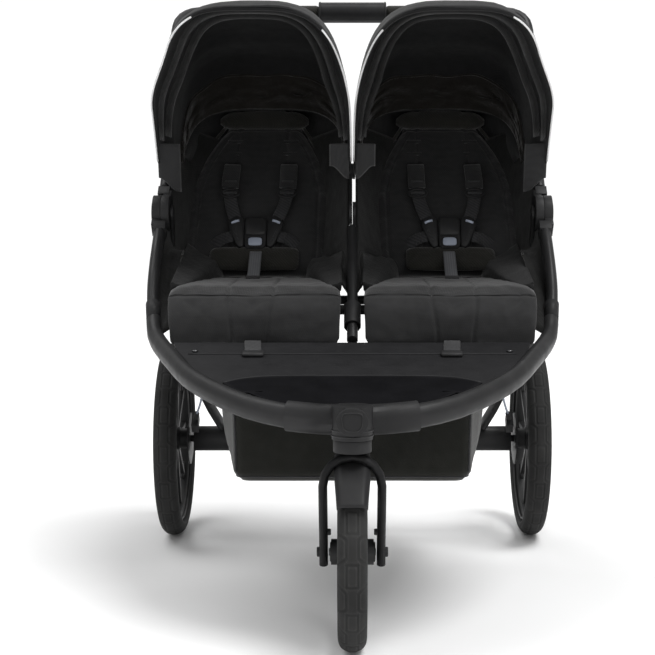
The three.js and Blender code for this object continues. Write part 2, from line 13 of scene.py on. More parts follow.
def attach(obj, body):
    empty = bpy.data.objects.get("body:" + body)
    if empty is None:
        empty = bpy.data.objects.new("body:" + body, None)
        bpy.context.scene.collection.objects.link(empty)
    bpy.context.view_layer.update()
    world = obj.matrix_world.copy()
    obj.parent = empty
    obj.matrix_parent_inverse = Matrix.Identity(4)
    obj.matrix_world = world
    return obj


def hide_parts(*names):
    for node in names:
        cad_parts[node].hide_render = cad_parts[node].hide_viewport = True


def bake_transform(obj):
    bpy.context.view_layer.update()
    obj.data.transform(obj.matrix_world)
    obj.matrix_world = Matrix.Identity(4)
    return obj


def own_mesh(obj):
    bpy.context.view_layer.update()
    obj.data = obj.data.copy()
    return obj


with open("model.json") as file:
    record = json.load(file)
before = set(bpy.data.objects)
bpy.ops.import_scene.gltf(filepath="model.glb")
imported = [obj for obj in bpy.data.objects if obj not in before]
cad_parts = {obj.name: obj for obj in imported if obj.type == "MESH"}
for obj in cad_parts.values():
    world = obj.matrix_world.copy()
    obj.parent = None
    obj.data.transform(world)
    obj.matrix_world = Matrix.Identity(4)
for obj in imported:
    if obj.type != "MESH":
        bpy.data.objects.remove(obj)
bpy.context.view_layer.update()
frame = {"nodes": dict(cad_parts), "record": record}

MM = 0.001
FRONT_AXLE_Y = -423.5
FOLD = (568, 670)
CANOPY_PIVOT = (640, 751)
BACK_PIVOT = (628, 548)
BACK_ANGLE = 56
FRONT_HUB = (0, 153)
REAR_HUB = (800, 200)
HANDLEBAR = (880, 1083)
FOOTPLATE_SLOPE = 0.216
SIDES = (("left", -1), ("right", 1))
X_AXIS = Vector((1, 0, 0))


# ---------------------------------------------------------------- places and curves

def at(x, y, z):
    return Vector((x, y + FRONT_AXLE_Y, z)) * MM


def polar(centre, degrees, radius):
    """The (y, z) at an angle and a distance from a centre."""
    angle = math.radians(degrees)
    return centre[0] + radius * math.cos(angle), centre[1] + radius * math.sin(angle)


def back_point(x, along, lift):
    """A place on the seat back: x, distance up from its hinge, and height above the padding's plane."""
    y, z = polar(BACK_PIVOT, BACK_ANGLE, along)
    dy, dz = polar((0, 0), BACK_ANGLE + 90, lift)
    return at(x, y + dy, z + dz)


def ease(low, high, value):
    """0 below low, 1 above high, and a smooth step between."""
    t = min(max((value - low) / (high - low), 0.0), 1.0)
    return t * t * (3 - 2 * t)


def bump_at(centre, width, value):
    """A bell of height 1 round the centre."""
    return math.exp(-((value - centre) / width) ** 2)


def rounded(value, power):
    """Turns a cosine or a sine into the coordinate of a rounded rectangle."""
    return math.copysign(abs(value) ** power, value)


def ripple(a, b, c):
    return noise.noise(Vector((a, b, c)))


def table(rows, value, column=1):
    """Straight-line interpolation in a table's column, by its first column."""
    return float(np.interp(value, [row[0] for row in rows], [row[column] for row in rows]))


def turns(count, start=0.0):
    """Even angles round a circle."""
    return [2 * math.pi * (i + start) / count for i in range(count)]


def rounded_rectangle(count, half_u, half_v, power, start=0.0):
    """(u, v) points round the origin."""
    return [(half_u * rounded(math.cos(a), power), half_v * rounded(math.sin(a), power))
            for a in turns(count, start)]


def grid(rows, columns, place):
    """Points place(s, u), where s goes from 0 to 1 over the rows and u from 0 to 1 along each."""
    return [[place(k / rows, i / columns) for i in range(columns + 1)] for k in range(rows + 1)]


def spline(points, steps):
    """Points on a smooth curve through the given ones."""
    points = [Vector(p) for p in points]
    padded = [points[0] * 2 - points[1], *points, points[-1] * 2 - points[-2]]
    found = []
    for i in range(len(points) - 1):
        a, b, c, d = padded[i:i + 4]
        for t in (k / steps for k in range(steps)):
            found.append(0.5 * (2 * b + (c - a) * t + (2 * a - 5 * b + 4 * c - d) * t ** 2
                                + (3 * b - a - 3 * c + d) * t ** 3))
    return [*found, points[-1]]


# ---------------------------------------------------------------- materials

def linked(tree, kind, inputs=None, **settings):
    """A new shader node, with its inputs set to values or linked to sockets."""
    node = tree.nodes.new(kind)
    for name, value in settings.items():
        setattr(node, name, value)
    for name, value in (inputs or {}).items():
        socket = node.inputs[name]
        if isinstance(value, bpy.types.NodeSocket):
            tree.links.new(value, socket)
        else:
            socket.default_value = value
    return node


def new_material(name, roughness, metallic=0.0, sheen=0.0, coat=0.0, specular=0.5):
    material = bpy.data.materials.new(name)
    material.use_nodes = True
    tree = material.node_tree
    shader = tree.nodes["Principled BSDF"]
    for label, value in (("Roughness", roughness), ("Metallic", metallic), ("Specular IOR Level", specular),
                         ("Sheen Weight", sheen), ("Sheen Roughness", 0.5), ("Coat Weight", coat),
                         ("Coat Roughness", 0.3)):
        shader.inputs[label].default_value = value
    return material, tree, shader, linked(tree, "ShaderNodeTexCoord").outputs["Object"]


def cloud(tree, coords, scale, detail):
    """Plain noise."""
    inputs = {"Vector": coords, "Scale": scale, "Detail": detail}
    return linked(tree, "ShaderNodeTexNoise", inputs).outputs["Fac"]


def remapped(tree, value, from_low, from_high, low, high):
    inputs = {"Value": value, "From Min": from_low, "From Max": from_high, "To Min": low, "To Max": high}
    return linked(tree, "ShaderNodeMapRange", inputs).outputs["Result"]


def varied(tree, coords, scale, low, high, detail=4.0):
    """Noise between two values."""
    return remapped(tree, cloud(tree, coords, scale, detail), 0.3, 0.7, low, high)


def combined(tree, operation, first, second):
    return linked(tree, "ShaderNodeMath", {0: first, 1: second}, operation=operation).outputs["Value"]


def colour_between(tree, factor, dark, light):
    mix = linked(tree, "ShaderNodeMix", {"Factor": factor}, data_type="RGBA")
    mix.inputs["A"].default_value = (*dark, 1)
    mix.inputs["B"].default_value = (*light, 1)
    return mix.outputs["Result"]


def highlit_edges(tree, colour, edge_highlight_colour, strength):
    """Convex edges a little lighter: a painted edge highlight."""
    pointiness = linked(tree, "ShaderNodeNewGeometry").outputs["Pointiness"]
    edge = remapped(tree, pointiness, 0.51, 0.58, 0.0, strength)
    mix = linked(tree, "ShaderNodeMix", {"Factor": edge, "A": colour}, data_type="RGBA")
    mix.inputs["B"].default_value = (*edge_highlight_colour, 1)
    return mix.outputs["Result"]


def connect(tree, shader, colour, roughness, heights):
    """Colour, roughness, and bumps of (height socket, strength, distance), one on the other."""
    tree.links.new(colour, shader.inputs["Base Color"])
    tree.links.new(roughness, shader.inputs["Roughness"])
    normal = {}
    for height, strength, distance in heights:
        inputs = {"Height": height, "Strength": strength, "Distance": distance, **normal}
        normal = {"Normal": linked(tree, "ShaderNodeBump", inputs).outputs["Normal"]}
    tree.links.new(normal["Normal"], shader.inputs["Normal"])


def fabric(name, dark, light, thread, weave=0.35, sheen=0.25, wrinkle=0.3, wrinkle_size=28.0):
    """Woven cloth: two sets of threads crossing, fine fuzz, and soft wrinkles."""
    material, tree, shader, coords = new_material(name, 0.9, sheen=sheen, specular=0.25)
    bands = []
    for turn in (0.785, -0.785):
        turned = linked(tree, "ShaderNodeMapping", {"Vector": coords, "Rotation": (turn, turn * 0.6, turn)})
        wave = linked(tree, "ShaderNodeTexWave", {"Vector": turned.outputs["Vector"], "Scale": 0.16 / thread,
                                                  "Distortion": 1.5, "Detail": 1.0, "Detail Scale": 2.0})
        bands.append(wave.outputs["Fac"])
    threads = combined(tree, "MULTIPLY", *bands)
    mixed = combined(tree, "ADD", threads, varied(tree, coords, 14.0, 0.0, 0.7))
    folds = varied(tree, coords, wrinkle_size, 0.0, 1.0, 3.0)
    connect(tree, shader, colour_between(tree, mixed, dark, light), varied(tree, coords, 60.0, 0.82, 0.97),
            [(folds, wrinkle, 0.004), (threads, weave, 0.0006)])
    return material


def moulded(name, dark, light, roughness, grain=900.0, edge=0.5, coat=0.0, grain_strength=0.12,
            specular=0.30):
    """Moulded plastic or powder coat: fine grain, uneven gloss, and lighter edges as a painted highlight."""
    material, tree, shader, coords = new_material(name, roughness, coat=coat, specular=specular)
    colour = colour_between(tree, varied(tree, coords, 22.0, 0.0, 1.0), dark, light)
    edge_highlight_colour = tuple(min(1.0, c * 2.2 + 0.02) for c in light)
    connect(tree, shader, highlit_edges(tree, colour, edge_highlight_colour, edge),
            varied(tree, coords, 45.0, roughness - 0.07, roughness + 0.08),
            [(cloud(tree, coords, grain, 2.0), grain_strength, 0.0004)])
    return material


def turned_metal(name, dark, light, roughness, stretch):
    """Turned or brushed bare metal: fine lines drawn out along one direction."""
    material, tree, shader, coords = new_material(name, roughness, metallic=1.0)
    drawn = linked(tree, "ShaderNodeMapping", {"Vector": coords, "Scale": stretch})
    lines = cloud(tree, drawn.outputs["Vector"], 300.0, 3.0)
    connect(tree, shader, colour_between(tree, lines, dark, light),
            varied(tree, coords, 40.0, roughness - 0.06, roughness + 0.1), [(lines, 0.2, 0.0002)])
    return material


def ribbed(name, dark, light, pitch, axis, roughness, depth=0.0005):
    """Rubber or webbing with fine parallel ribs across one axis."""
    material, tree, shader, coords = new_material(name, roughness, sheen=0.1, specular=0.3)
    wave = linked(tree, "ShaderNodeTexWave", {"Vector": coords, "Scale": 0.1592 / pitch, "Distortion": 0.3,
                                              "Detail": 1.0}, bands_direction=axis).outputs["Fac"]
    tone = combined(tree, "MULTIPLY", wave, varied(tree, coords, 30.0, 0.2, 0.8))
    connect(tree, shader, colour_between(tree, tone, dark, light),
            varied(tree, coords, 80.0, roughness - 0.08, roughness + 0.06),
            [(wave, 0.45, depth), (cloud(tree, coords, 1200.0, 2.0), 0.12, 0.0003)])
    return material


# Each row: finish, kind, dark colour, light colour, then the kind's own settings
# In the moulded rows, edge sets the strength of the painted edge highlight
FINISHES = (
    ("frame_metal", moulded, (0.0125, 0.0125, 0.013), (0.019, 0.019, 0.0195),
     dict(roughness=0.44, grain=1400.0, coat=0.04, edge=0.2, specular=0.2)),
    # A darker copy of the frame paint: on the fork the extra darkness is painted shade, the brake discs are
    # this dark themselves
    ("dark_metal", moulded, (0.0065, 0.0065, 0.0068), (0.0105, 0.0105, 0.0109),
     dict(roughness=0.48, grain=1400.0, edge=0.15, specular=0.12)),
    ("moulded_plastic", moulded, (0.009, 0.009, 0.0095), (0.014, 0.014, 0.0145),
     dict(roughness=0.54, edge=0.35, specular=0.2)),
    ("footplate_plastic", moulded, (0.0078, 0.0078, 0.0085), (0.012, 0.012, 0.013),
     dict(roughness=0.60, edge=0.3, grain_strength=0.25, specular=0.18)),
    ("button_plastic", moulded, (0.20, 0.22, 0.27), (0.27, 0.30, 0.36), dict(roughness=0.4)),
    # Black rim plastic, darkened further as painted shade of the hubs
    ("rim_plastic", moulded, (0.0045, 0.0045, 0.0048), (0.008, 0.008, 0.0083),
     dict(roughness=0.50, edge=0.3)),
    ("tyre", moulded, (0.013, 0.013, 0.013), (0.024, 0.024, 0.0235),
     dict(roughness=0.85, grain=500.0, edge=0.8, grain_strength=0.3)),
    # The toe area: its darkness is painted shade of the recess in front of the footplate's step
    ("toe_mat", moulded, (0.0034, 0.0034, 0.004), (0.006, 0.006, 0.007),
     dict(roughness=0.80, grain=420.0, edge=0.2, grain_strength=0.5, specular=0.05)),
    ("steel", turned_metal, (0.07, 0.07, 0.072), (0.16, 0.16, 0.165),
     dict(roughness=0.36, stretch=(1, 0.1, 0.1))),
    ("grip_rubber", ribbed, (0.012, 0.012, 0.013), (0.034, 0.034, 0.035),
     dict(pitch=0.0032, axis="Y", roughness=0.72, depth=0.0008)),
    ("webbing", ribbed, (0.018, 0.018, 0.0193), (0.052, 0.052, 0.0545),
     dict(pitch=0.0024, axis="DIAGONAL", roughness=0.8)),
    ("crotch_webbing", ribbed, (0.105, 0.108, 0.116), (0.190, 0.194, 0.205),
     dict(pitch=0.0022, axis="X", roughness=0.75)),
    ("seat_fabric", fabric, (0.011, 0.011, 0.0113), (0.023, 0.023, 0.0235),
     dict(thread=0.0014, wrinkle=0.22)),
    ("bolster_fabric", fabric, (0.0028, 0.0028, 0.0029), (0.006, 0.006, 0.0062),
     dict(thread=0.0014, sheen=0.10, wrinkle=0.2)),
    ("apron_fabric", fabric, (0.0165, 0.0165, 0.017), (0.0275, 0.0275, 0.028),
     dict(thread=0.0011, weave=0.2, wrinkle=0.15, sheen=0.15)),
    ("pad_fabric", fabric, (0.010, 0.0098, 0.0080), (0.021, 0.020, 0.0165), dict(thread=0.0018, weave=0.5)),
    ("lining_fabric", fabric, (0.0036, 0.0036, 0.0034), (0.007, 0.007, 0.0066),
     dict(thread=0.0012, sheen=0.10, wrinkle_size=18.0)),
    ("rear_lining", fabric, (0.0046, 0.0036, 0.0026), (0.0095, 0.0077, 0.0056),
     dict(thread=0.0012, wrinkle=0.9, wrinkle_size=22.0)),
    ("canopy_fabric", fabric, (0.0042, 0.0042, 0.0044), (0.0086, 0.0086, 0.009),
     dict(thread=0.0012, sheen=0.10, wrinkle=0.25, wrinkle_size=16.0)),
    ("flap_fabric", fabric, (0.022, 0.022, 0.0225), (0.036, 0.036, 0.037),
     dict(thread=0.0010, weave=0.25, wrinkle=0.15)),
    ("basket_fabric", fabric, (0.0074, 0.0076, 0.0058), (0.013, 0.0134, 0.0104),
     dict(thread=0.0015, weave=0.45, wrinkle_size=9.0)),
    ("casing", fabric, (0.0055, 0.0055, 0.0055), (0.0105, 0.0105, 0.0105),
     dict(thread=0.0012, weave=0.4, wrinkle=0.4, wrinkle_size=20.0)),
    ("binding", fabric, (0.022, 0.022, 0.023), (0.040, 0.040, 0.042),
     dict(thread=0.0010, weave=0.5, wrinkle=0.1)),
    ("reflective", fabric, (0.62, 0.62, 0.62), (0.85, 0.85, 0.85),
     dict(thread=0.0008, weave=0.3, sheen=0.0, wrinkle=0.05)),
)
MATERIALS = {name: kind(name, dark, light, **settings) for name, kind, dark, light, settings in FINISHES}
# The record's material slot, and the finishes that belong to it besides the one of its own name
SLOT_FINISHES = {"seat_fabric": ("apron_fabric", "bolster_fabric", "pad_fabric"),
                 "canopy_fabric": ("lining_fabric", "rear_lining", "casing", "reflective", "flap_fabric"),
                 "webbing": ("crotch_webbing", "binding"), "grip_rubber": ("toe_mat",),
                 "frame_metal": ("dark_metal",), "moulded_plastic": ("footplate_plastic",)}
SLOTS = {finish: slot for slot, finishes in SLOT_FINISHES.items() for finish in finishes}
# The fork takes the darker copy of the frame paint as painted shade
CAD_FINISHES = {"fork": "dark_metal", "footplate": "footplate_plastic", "brake_disc_left": "dark_metal",
                "brake_disc_right": "dark_metal"}


# ---------------------------------------------------------------- mesh helpers

def mesh_object(name, points, faces, finish):
    mesh = bpy.data.meshes.new(name)
    mesh.from_pydata([tuple(p) for p in points], [], faces)
    edit = bmesh.new()
    edit.from_mesh(mesh)
    bmesh.ops.recalc_face_normals(edit, faces=edit.faces)
    edit.to_mesh(mesh)
    edit.free()
    make_smooth(mesh)
    obj = bpy.data.objects.new(name, mesh)
    bpy.context.collection.objects.link(obj)
    mesh.materials.append(MATERIALS[finish])
    SLOTS.get(finish, finish)
    return obj


def make_smooth(mesh):
    mesh.polygons.foreach_set("use_smooth", [True] * len(mesh.polygons))


def grid_faces(rows, columns, round_columns=False, round_rows=False):
    """Quads between neighbouring points; where it goes round, the last column or row joins the first."""
    faces = []
    for r in range(rows if round_rows else rows - 1):
        below = (r + 1) % rows
        for c in range(columns if round_columns else columns - 1):
            d = (c + 1) % columns
            faces.append((r * columns + c, r * columns + d, below * columns + d, below * columns + c))
    return faces


def apply_modifiers(obj):
    graph = bpy.context.evaluated_depsgraph_get()
    mesh = bpy.data.meshes.new_from_object(obj.evaluated_get(graph))
    obj.modifiers.clear()
    obj.data = mesh


def lofted(name, rings, finish, closed=False):
    """A solid through rings of equally many points, capped at its ends or closed on itself."""
    count = len(rings[0])
    faces = grid_faces(len(rings), count, True, closed)
    if not closed:
        faces.append(tuple(range(count)))
        faces.append(tuple(reversed(range((len(rings) - 1) * count, len(rings) * count))))
    return mesh_object(name, [p for ring in rings for p in ring], faces, finish)


def thicken(obj, thickness):
    solid = obj.modifiers.new("Thickness", "SOLIDIFY")
    solid.thickness = thickness * MM
    solid.offset = 0.0
    apply_modifiers(obj)
    return obj


def sheet_object(name, rows, thickness, finish):
    """Cloth of even thickness, in millimetres, on a grid of points."""
    points = [p for row in rows for p in row]
    return thicken(mesh_object(name, points, grid_faces(len(rows), len(rows[0])), finish), thickness)


def frames_along(path, closed=False):
    """Points of a path with their direction, and a side direction that doesn't twist."""
    path = [Vector(p) for p in path]
    count = len(path)
    tangents = []
    for i in range(count):
        before = path[(i - 1) % count] if closed or i > 0 else path[i]
        after = path[(i + 1) % count] if closed or i < count - 1 else path[i]
        tangents.append((after - before).normalized())
    helper = Vector((0, 0, 1)) if abs(tangents[0].z) < 0.9 else X_AXIS
    side = tangents[0].cross(helper).normalized()
    found = []
    for point, tangent in zip(path, tangents):
        side = (side - tangent * side.dot(tangent)).normalized()
        found.append((point, tangent, side))
    return found


def tube(name, path, radius, finish, sides=8, flat=1.0, closed=False):
    """A round cord or tube along a path, radius in millimetres, or one radius per point."""
    radii = radius if isinstance(radius, (list, tuple)) else [radius] * len(path)
    rings = []
    for (point, tangent, side), r in zip(frames_along(path, closed), radii):
        other = tangent.cross(side)
        rings.append([point + (side * math.cos(a) + other * math.sin(a) * flat) * r * MM
                      for a in turns(sides)])
    return lofted(name, rings, finish, closed)


def strap(name, path, normal, width, thickness, finish):
    """Flat webbing with rounded edges, lying on the side that the normal points to."""
    edge, flat = width / 2, thickness / 2
    section = [(-edge, 0), (1 - edge, flat), (0, flat + 0.2), (edge - 1, flat), (edge, 0), (edge - 1, -flat),
               (0, -flat), (1 - edge, -flat)]
    rings = []
    for i, point in enumerate(path):
        tangent = (path[min(i + 1, len(path) - 1)] - path[max(i - 1, 0)]).normalized()
        across = tangent.cross(normal).normalized()
        up = across.cross(tangent)
        rings.append([point + (across * u + up * v) * MM for u, v in section])
    return lofted(name, rings, finish)


def revolved(name, profile, centre, finish="moulded_plastic", segments=48, upright=False, flip=False):
    """A solid of revolution about X, or upright, from a closed profile of (radius, along), in millimetres."""
    turn = Matrix.Identity(3) if upright else Matrix.Rotation(math.pi / 2, 3, "Y")
    direction = -1 if flip else 1
    rings = [[turn @ Vector((r * math.cos(a), r * math.sin(a), direction * along)) * MM + centre
              for r, along in profile] for a in turns(segments)]
    return lofted(name, rings, finish, closed=True)


def rounded_prism(name, outline, low, high, place, round_mm, finish="moulded_plastic"):
    """A plate with a rounded rim: outline in (u, v), between two heights, put in place by place(u, v, w)."""
    centre_u = sum(u for u, v in outline) / len(outline)
    centre_v = sum(v for u, v in outline) / len(outline)
    size = max(max(abs(u - centre_u), abs(v - centre_v)) for u, v in outline)
    shrink = 1 - round_mm / size
    levels = ((low, shrink), (low + round_mm, 1), (high - round_mm, 1), (high, shrink))
    rings = [[place(centre_u + (u - centre_u) * scale, centre_v + (v - centre_v) * scale, height)
              for u, v in outline] for height, scale in levels]
    return lofted(name, rings, finish)


def mirrored(obj, name):
    """The same piece on the other side of the stroller."""
    mesh = obj.data.copy()
    mesh.transform(Matrix.Scale(-1, 4, X_AXIS))
    mesh.flip_normals()
    copy = bpy.data.objects.new(name, mesh)
    bpy.context.collection.objects.link(copy)
    return copy


def inflated(obj, cap_mm):
    """Fills a closed piece with Cloth pressure, then keeps it within a few millimetres of where it was."""
    remesh = obj.modifiers.new("Even", "REMESH")
    remesh.mode = "VOXEL"
    remesh.voxel_size = 5.5 * MM
    apply_modifiers(obj)
    make_smooth(obj.data)
    rest = np.array([v.co for v in obj.data.vertices])
    cloth = obj.modifiers.new("Cloth", "CLOTH")
    cloth.settings.quality = 5
    cloth.settings.use_pressure = True
    cloth.settings.uniform_pressure_force = 4.0
    cloth.settings.effector_weights.gravity = 0.0
    cloth.settings.tension_stiffness = 15
    cloth.settings.bending_stiffness = 2.0
    cloth.point_cache.frame_start = 1
    cloth.point_cache.frame_end = 20
    for step in range(1, 21):
        bpy.context.scene.frame_set(step)
    apply_modifiers(obj)
    bpy.context.scene.frame_set(1)
    move = np.array([v.co for v in obj.data.vertices]) - rest
    length = np.linalg.norm(move, axis=1, keepdims=True)
    limit = cap_mm * MM
    now = rest + move / np.maximum(length, 1e-9) * (limit * np.tanh(length / limit))
    obj.data.vertices.foreach_set("co", now.ravel())
    finer = obj.modifiers.new("Finer", "SUBSURF")
    finer.levels = 1
    finer.render_levels = 1
    apply_modifiers(obj)
    make_smooth(obj.data)


def shape(obj, move):
    """Moves each point by what move(point in millimetres from the front axle) returns, in millimetres."""
    for v in obj.data.vertices:
        v.co += move(v.co.x / MM, v.co.y / MM - FRONT_AXLE_Y, v.co.z / MM) * MM
    obj.data.update()


# ---------------------------------------------------------------- camera, light and floor

def make_camera():
    data = bpy.data.cameras.new("camera")
    data.lens = 80.57
    data.sensor_width = 36.0
    data.shift_x = -0.038
    data.shift_y = 0.036
    data.dof.use_dof = False
    camera = bpy.data.objects.new("camera", data)
    camera.location = (0.0, -2.6515, 0.696)
    camera.rotation_euler = (math.radians(90 - 5.9), 0.0, 0.0)
    bpy.context.collection.objects.link(camera)
    bpy.context.scene.camera = camera


def add_light(name, kind, energy, rotation, place=(0, 0, 0), **settings):
    data = bpy.data.lights.new(name, kind)
    data.energy = energy
    for key, value in settings.items():
        setattr(data, key, value)
    light = bpy.data.objects.new(name, data)
    light.location = place
    light.rotation_euler = rotation.to_euler()
    bpy.context.collection.objects.link(light)


def make_lights():
    suns = (("sun_right", (0.55, -0.35, 1.5), 2.2, 28), ("sun_left", (-0.75, 0.25, 1.5), 1.1, 40))
    for name, direction, strength, softness in suns:
        rotation = Vector(direction).to_track_quat("Z", "Y")
        add_light(name, "SUN", strength, rotation, angle=math.radians(softness))
    lamps = (("key", (2.0, -2.4, 2.6), 0.5, 1.8, 16), ("fill", (-2.6, -2.4, 1.8), 0.5, 2.0, 9),
             ("front", (0.1, -4.2, 1.3), 0.5, 1.6, 10), ("rear", (0.3, 3.0, 2.4), 0.6, 2.2, 18))
    for name, place, target_height, size, watts in lamps:
        rotation = (Vector((0, 0, target_height)) - Vector(place)).to_track_quat("-Z", "Y")
        add_light(name, "AREA", watts, rotation, place, shape="DISK", size=size)


def make_backdrop():
    """A white world, which lights the object less than it shows, and a pale floor."""
    world = bpy.data.worlds.new("studio")
    world.use_nodes = True
    tree = world.node_tree
    background = tree.nodes["Background"]
    background.inputs["Color"].default_value = (1, 1, 1, 1)
    seen = linked(tree, "ShaderNodeLightPath").outputs["Is Camera Ray"]
    level = linked(tree, "ShaderNodeMapRange", {"Value": seen, "To Min": 0.40, "To Max": 1.05})
    tree.links.new(level.outputs["Result"], background.inputs["Strength"])
    bpy.context.scene.world = world
    bpy.context.scene.view_settings.view_transform = "Standard"
    floor, tree, shader, coords = new_material("pale_floor", 0.6, specular=0.1)
    tone = colour_between(tree, varied(tree, coords, 1.2, 0.0, 1.0), (0.90, 0.90, 0.90), (0.93, 0.93, 0.93))
    tree.links.new(tone, shader.inputs["Base Color"])
    mesh = bpy.data.meshes.new("floor")
    mesh.from_pydata([(x, y, 0) for y in (-6, 9) for x in (-9, 9)], [], [(0, 1, 3, 2)])
    mesh.materials.append(floor)
    plane = bpy.data.objects.new("floor", mesh)
    bpy.context.collection.objects.link(plane)


make_camera()
make_lights()
make_backdrop()


# ---------------------------------------------------------------- CAD pieces: finishes and softened edges

def finish_cad():
    slots = {entry["node"]: entry["material_slot"] for entry in frame["record"]["subparts"]}
    for node, obj in frame["nodes"].items():
        finish = CAD_FINISHES.get(node, slots[node])
        # Edges past this angle are rounded off and shown sharp; the sides of a tube's facets stay smooth
        sharp = 58 if finish in ("frame_metal", "dark_metal") else 38
        obj.data.materials.clear()
        obj.data.materials.append(MATERIALS[finish])
        make_smooth(obj.data)
        weld = obj.modifiers.new("Weld", "WELD")
        weld.merge_threshold = 0.00002
        edge = obj.modifiers.new("Bevel", "BEVEL")
        edge.width = 0.0011
        edge.segments = 2
        edge.limit_method = "ANGLE"
        edge.angle_limit = math.radians(sharp + 4)
        edge.harden_normals = False
        split = obj.modifiers.new("Split", "EDGE_SPLIT")
        split.split_angle = math.radians(sharp)


finish_cad()


# ---------------------------------------------------------------- canopies

# Each station: angle about the pivot, radius, outer x at the foot
REAR_ANGLE = 38
HEM_ANGLE = 143.2
CANOPY_STATIONS = [(REAR_ANGLE, 208, 338), (60, 222, 341), (87, 255, 344), (112, 314, 346), (129, 381, 347),
                   (HEM_ANGLE, 446, 347)]
CANOPY_FOOT_X = 7
CANOPY_MIDDLE_X = 177
SKIRT_MIDDLE_X = 174
CANOPY_SQUARENESS = 2 / 3.5


def canopy_point(t, degrees, inset, sag=0.0):
    """A place on the hood. t runs from the inner foot, 0, over the crown to the outer foot, 1."""
    radius = table(CANOPY_STATIONS, degrees)
    outer_x = table(CANOPY_STATIONS, degrees, 2)
    middle = (CANOPY_FOOT_X + outer_x) / 2
    half = (outer_x - CANOPY_FOOT_X) / 2 - inset
    angle = 0.02 + (math.pi - 0.04) * t
    reach = (radius - inset) * math.sin(angle) ** CANOPY_SQUARENESS - sag * math.sin(angle)
    x = middle - half * rounded(math.cos(angle), CANOPY_SQUARENESS)
    y, z = polar(CANOPY_PIVOT, degrees, reach)
    # The front edge spreads, comes forward and drops towards its feet
    near_hem = ease(105, HEM_ANGLE, degrees)
    rise = reach / radius
    low = (1 - ease(0.42, 0.78, rise)) * ease(0.02, 0.12, rise)
    side = abs(x - middle) / half
    x += (19.0 if x > middle else -4.0) * near_hem * low * ease(0.0, 1.0, side)
    y -= 26.0 * near_hem * low * ease(0.75, 1.0, side)
    z -= 34.0 * near_hem * bump_at(0.10, 0.15, rise) * ease(0.75, 1.0, side)
    return x, y, z


def hood(side, t, degrees, inset=0.0):
    x, y, z = canopy_point(t, degrees, inset)
    return at(side * x, y, z)


def even_t(degrees, count=48):
    """Values of t that give evenly spaced points along the arch."""
    fine = [i / 240 for i in range(241)]
    places = [Vector(canopy_point(t, degrees, 0)) for t in fine]
    run = [0.0]
    for a, b in zip(places, places[1:]):
        run.append(run[-1] + (b - a).length)
    return [float(np.interp(run[-1] * k / count, run, fine)) for k in range(count + 1)]


def canopy_shell(side, name):
    """The hood's cloth, slack between its three stays."""
    centre = at(side * CANOPY_MIDDLE_X, CANOPY_PIVOT[0] - 60, CANOPY_PIVOT[1])
    steps = 44
    rows = []
    for share in (k / steps for k in range(steps + 1)):
        degrees = REAR_ANGLE + (HEM_ANGLE - REAR_ANGLE) * share
        row = []
        for t in even_t(degrees, 56):
            x, y, z = canopy_point(t, degrees, 1.2, sag=5.0 * math.sin(math.pi * (share * 3 % 1.0)))
            out = 1.8 * ripple(x * 0.012, y * 0.010, z * 0.012 + side)
            out += 0.7 * ripple(x * 0.045, y * 0.012, z * 0.03 + 7 * side)
            place = at(side * x, y, z)
            row.append(place + (place - centre).normalized() * out * MM * math.sin(math.pi * t))
        rows.append(row)
    return sheet_object(f"canopy_shell_{name}", rows, 2.0, "canopy_fabric")


def arch_band(side, name, angles, insets, finish, t_low=0.0, foot_share=1.0):
    """A band that follows the hood's arch, between two angles and two insets from the cloth.

    Near the feet the insets are foot_share of that."""
    steps = 72
    rings = []
    for t in (t_low + (1 - 2 * t_low) * i / steps for i in range(steps + 1)):
        share = foot_share + (1 - foot_share) * ease(0.0, 0.45, math.sin(math.pi * t))
        outer, inner = insets[0] * share, insets[1] * (0.25 + 0.75 * share)
        corners = ((angles[0], outer), (angles[1], outer), (angles[1], inner), (angles[0], inner))
        rings.append([hood(side, t, degrees, inset) for degrees, inset in corners])
    return lofted(name, rings, finish)


def panel_between(name, first, second, thickness, finish, rows, wave, seed):
    """A cloth panel ruled between two lines of equally many points, with soft folds."""
    panel = []
    for share in (k / rows for k in range(rows + 1)):
        row = []
        for i, (a, b) in enumerate(zip(first, second)):
            soft = ripple(i * 0.30 + seed, share * 2.2, seed)
            crease = 0.5 - abs(ripple(i * 0.22 - seed, share * 3.1, seed + 5)) * 2.4
            fold = (0.55 * soft + 0.45 * crease) * wave * math.sin(math.pi * share)
            row.append(a.lerp(b, share) + Vector((0, -fold * MM, fold * 0.3 * MM)))
        panel.append(row)
    return sheet_object(name, panel, thickness, finish)


def foot_flap(side, name, label, edges, feet):
    """A light flap over a foot of the front bow, between two x edges that hang down to different heights."""
    def place(s, u):
        foot = feet[0] + (feet[1] - feet[0]) * ease(0.0, 0.9, u)
        y = 549 + 16 * s + 34 * u ** 1.5 + 4 * math.sin(3 * u)
        return at(side * (edges[0] + (edges[1] - edges[0]) * u), y, 801 + (foot - 801) * s)

    flap = sheet_object(f"canopy_foot_flap_{label}_{name}", grid(12, 10, place), 2.2, "flap_fabric")
    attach(flap, f"canopy_{name}")


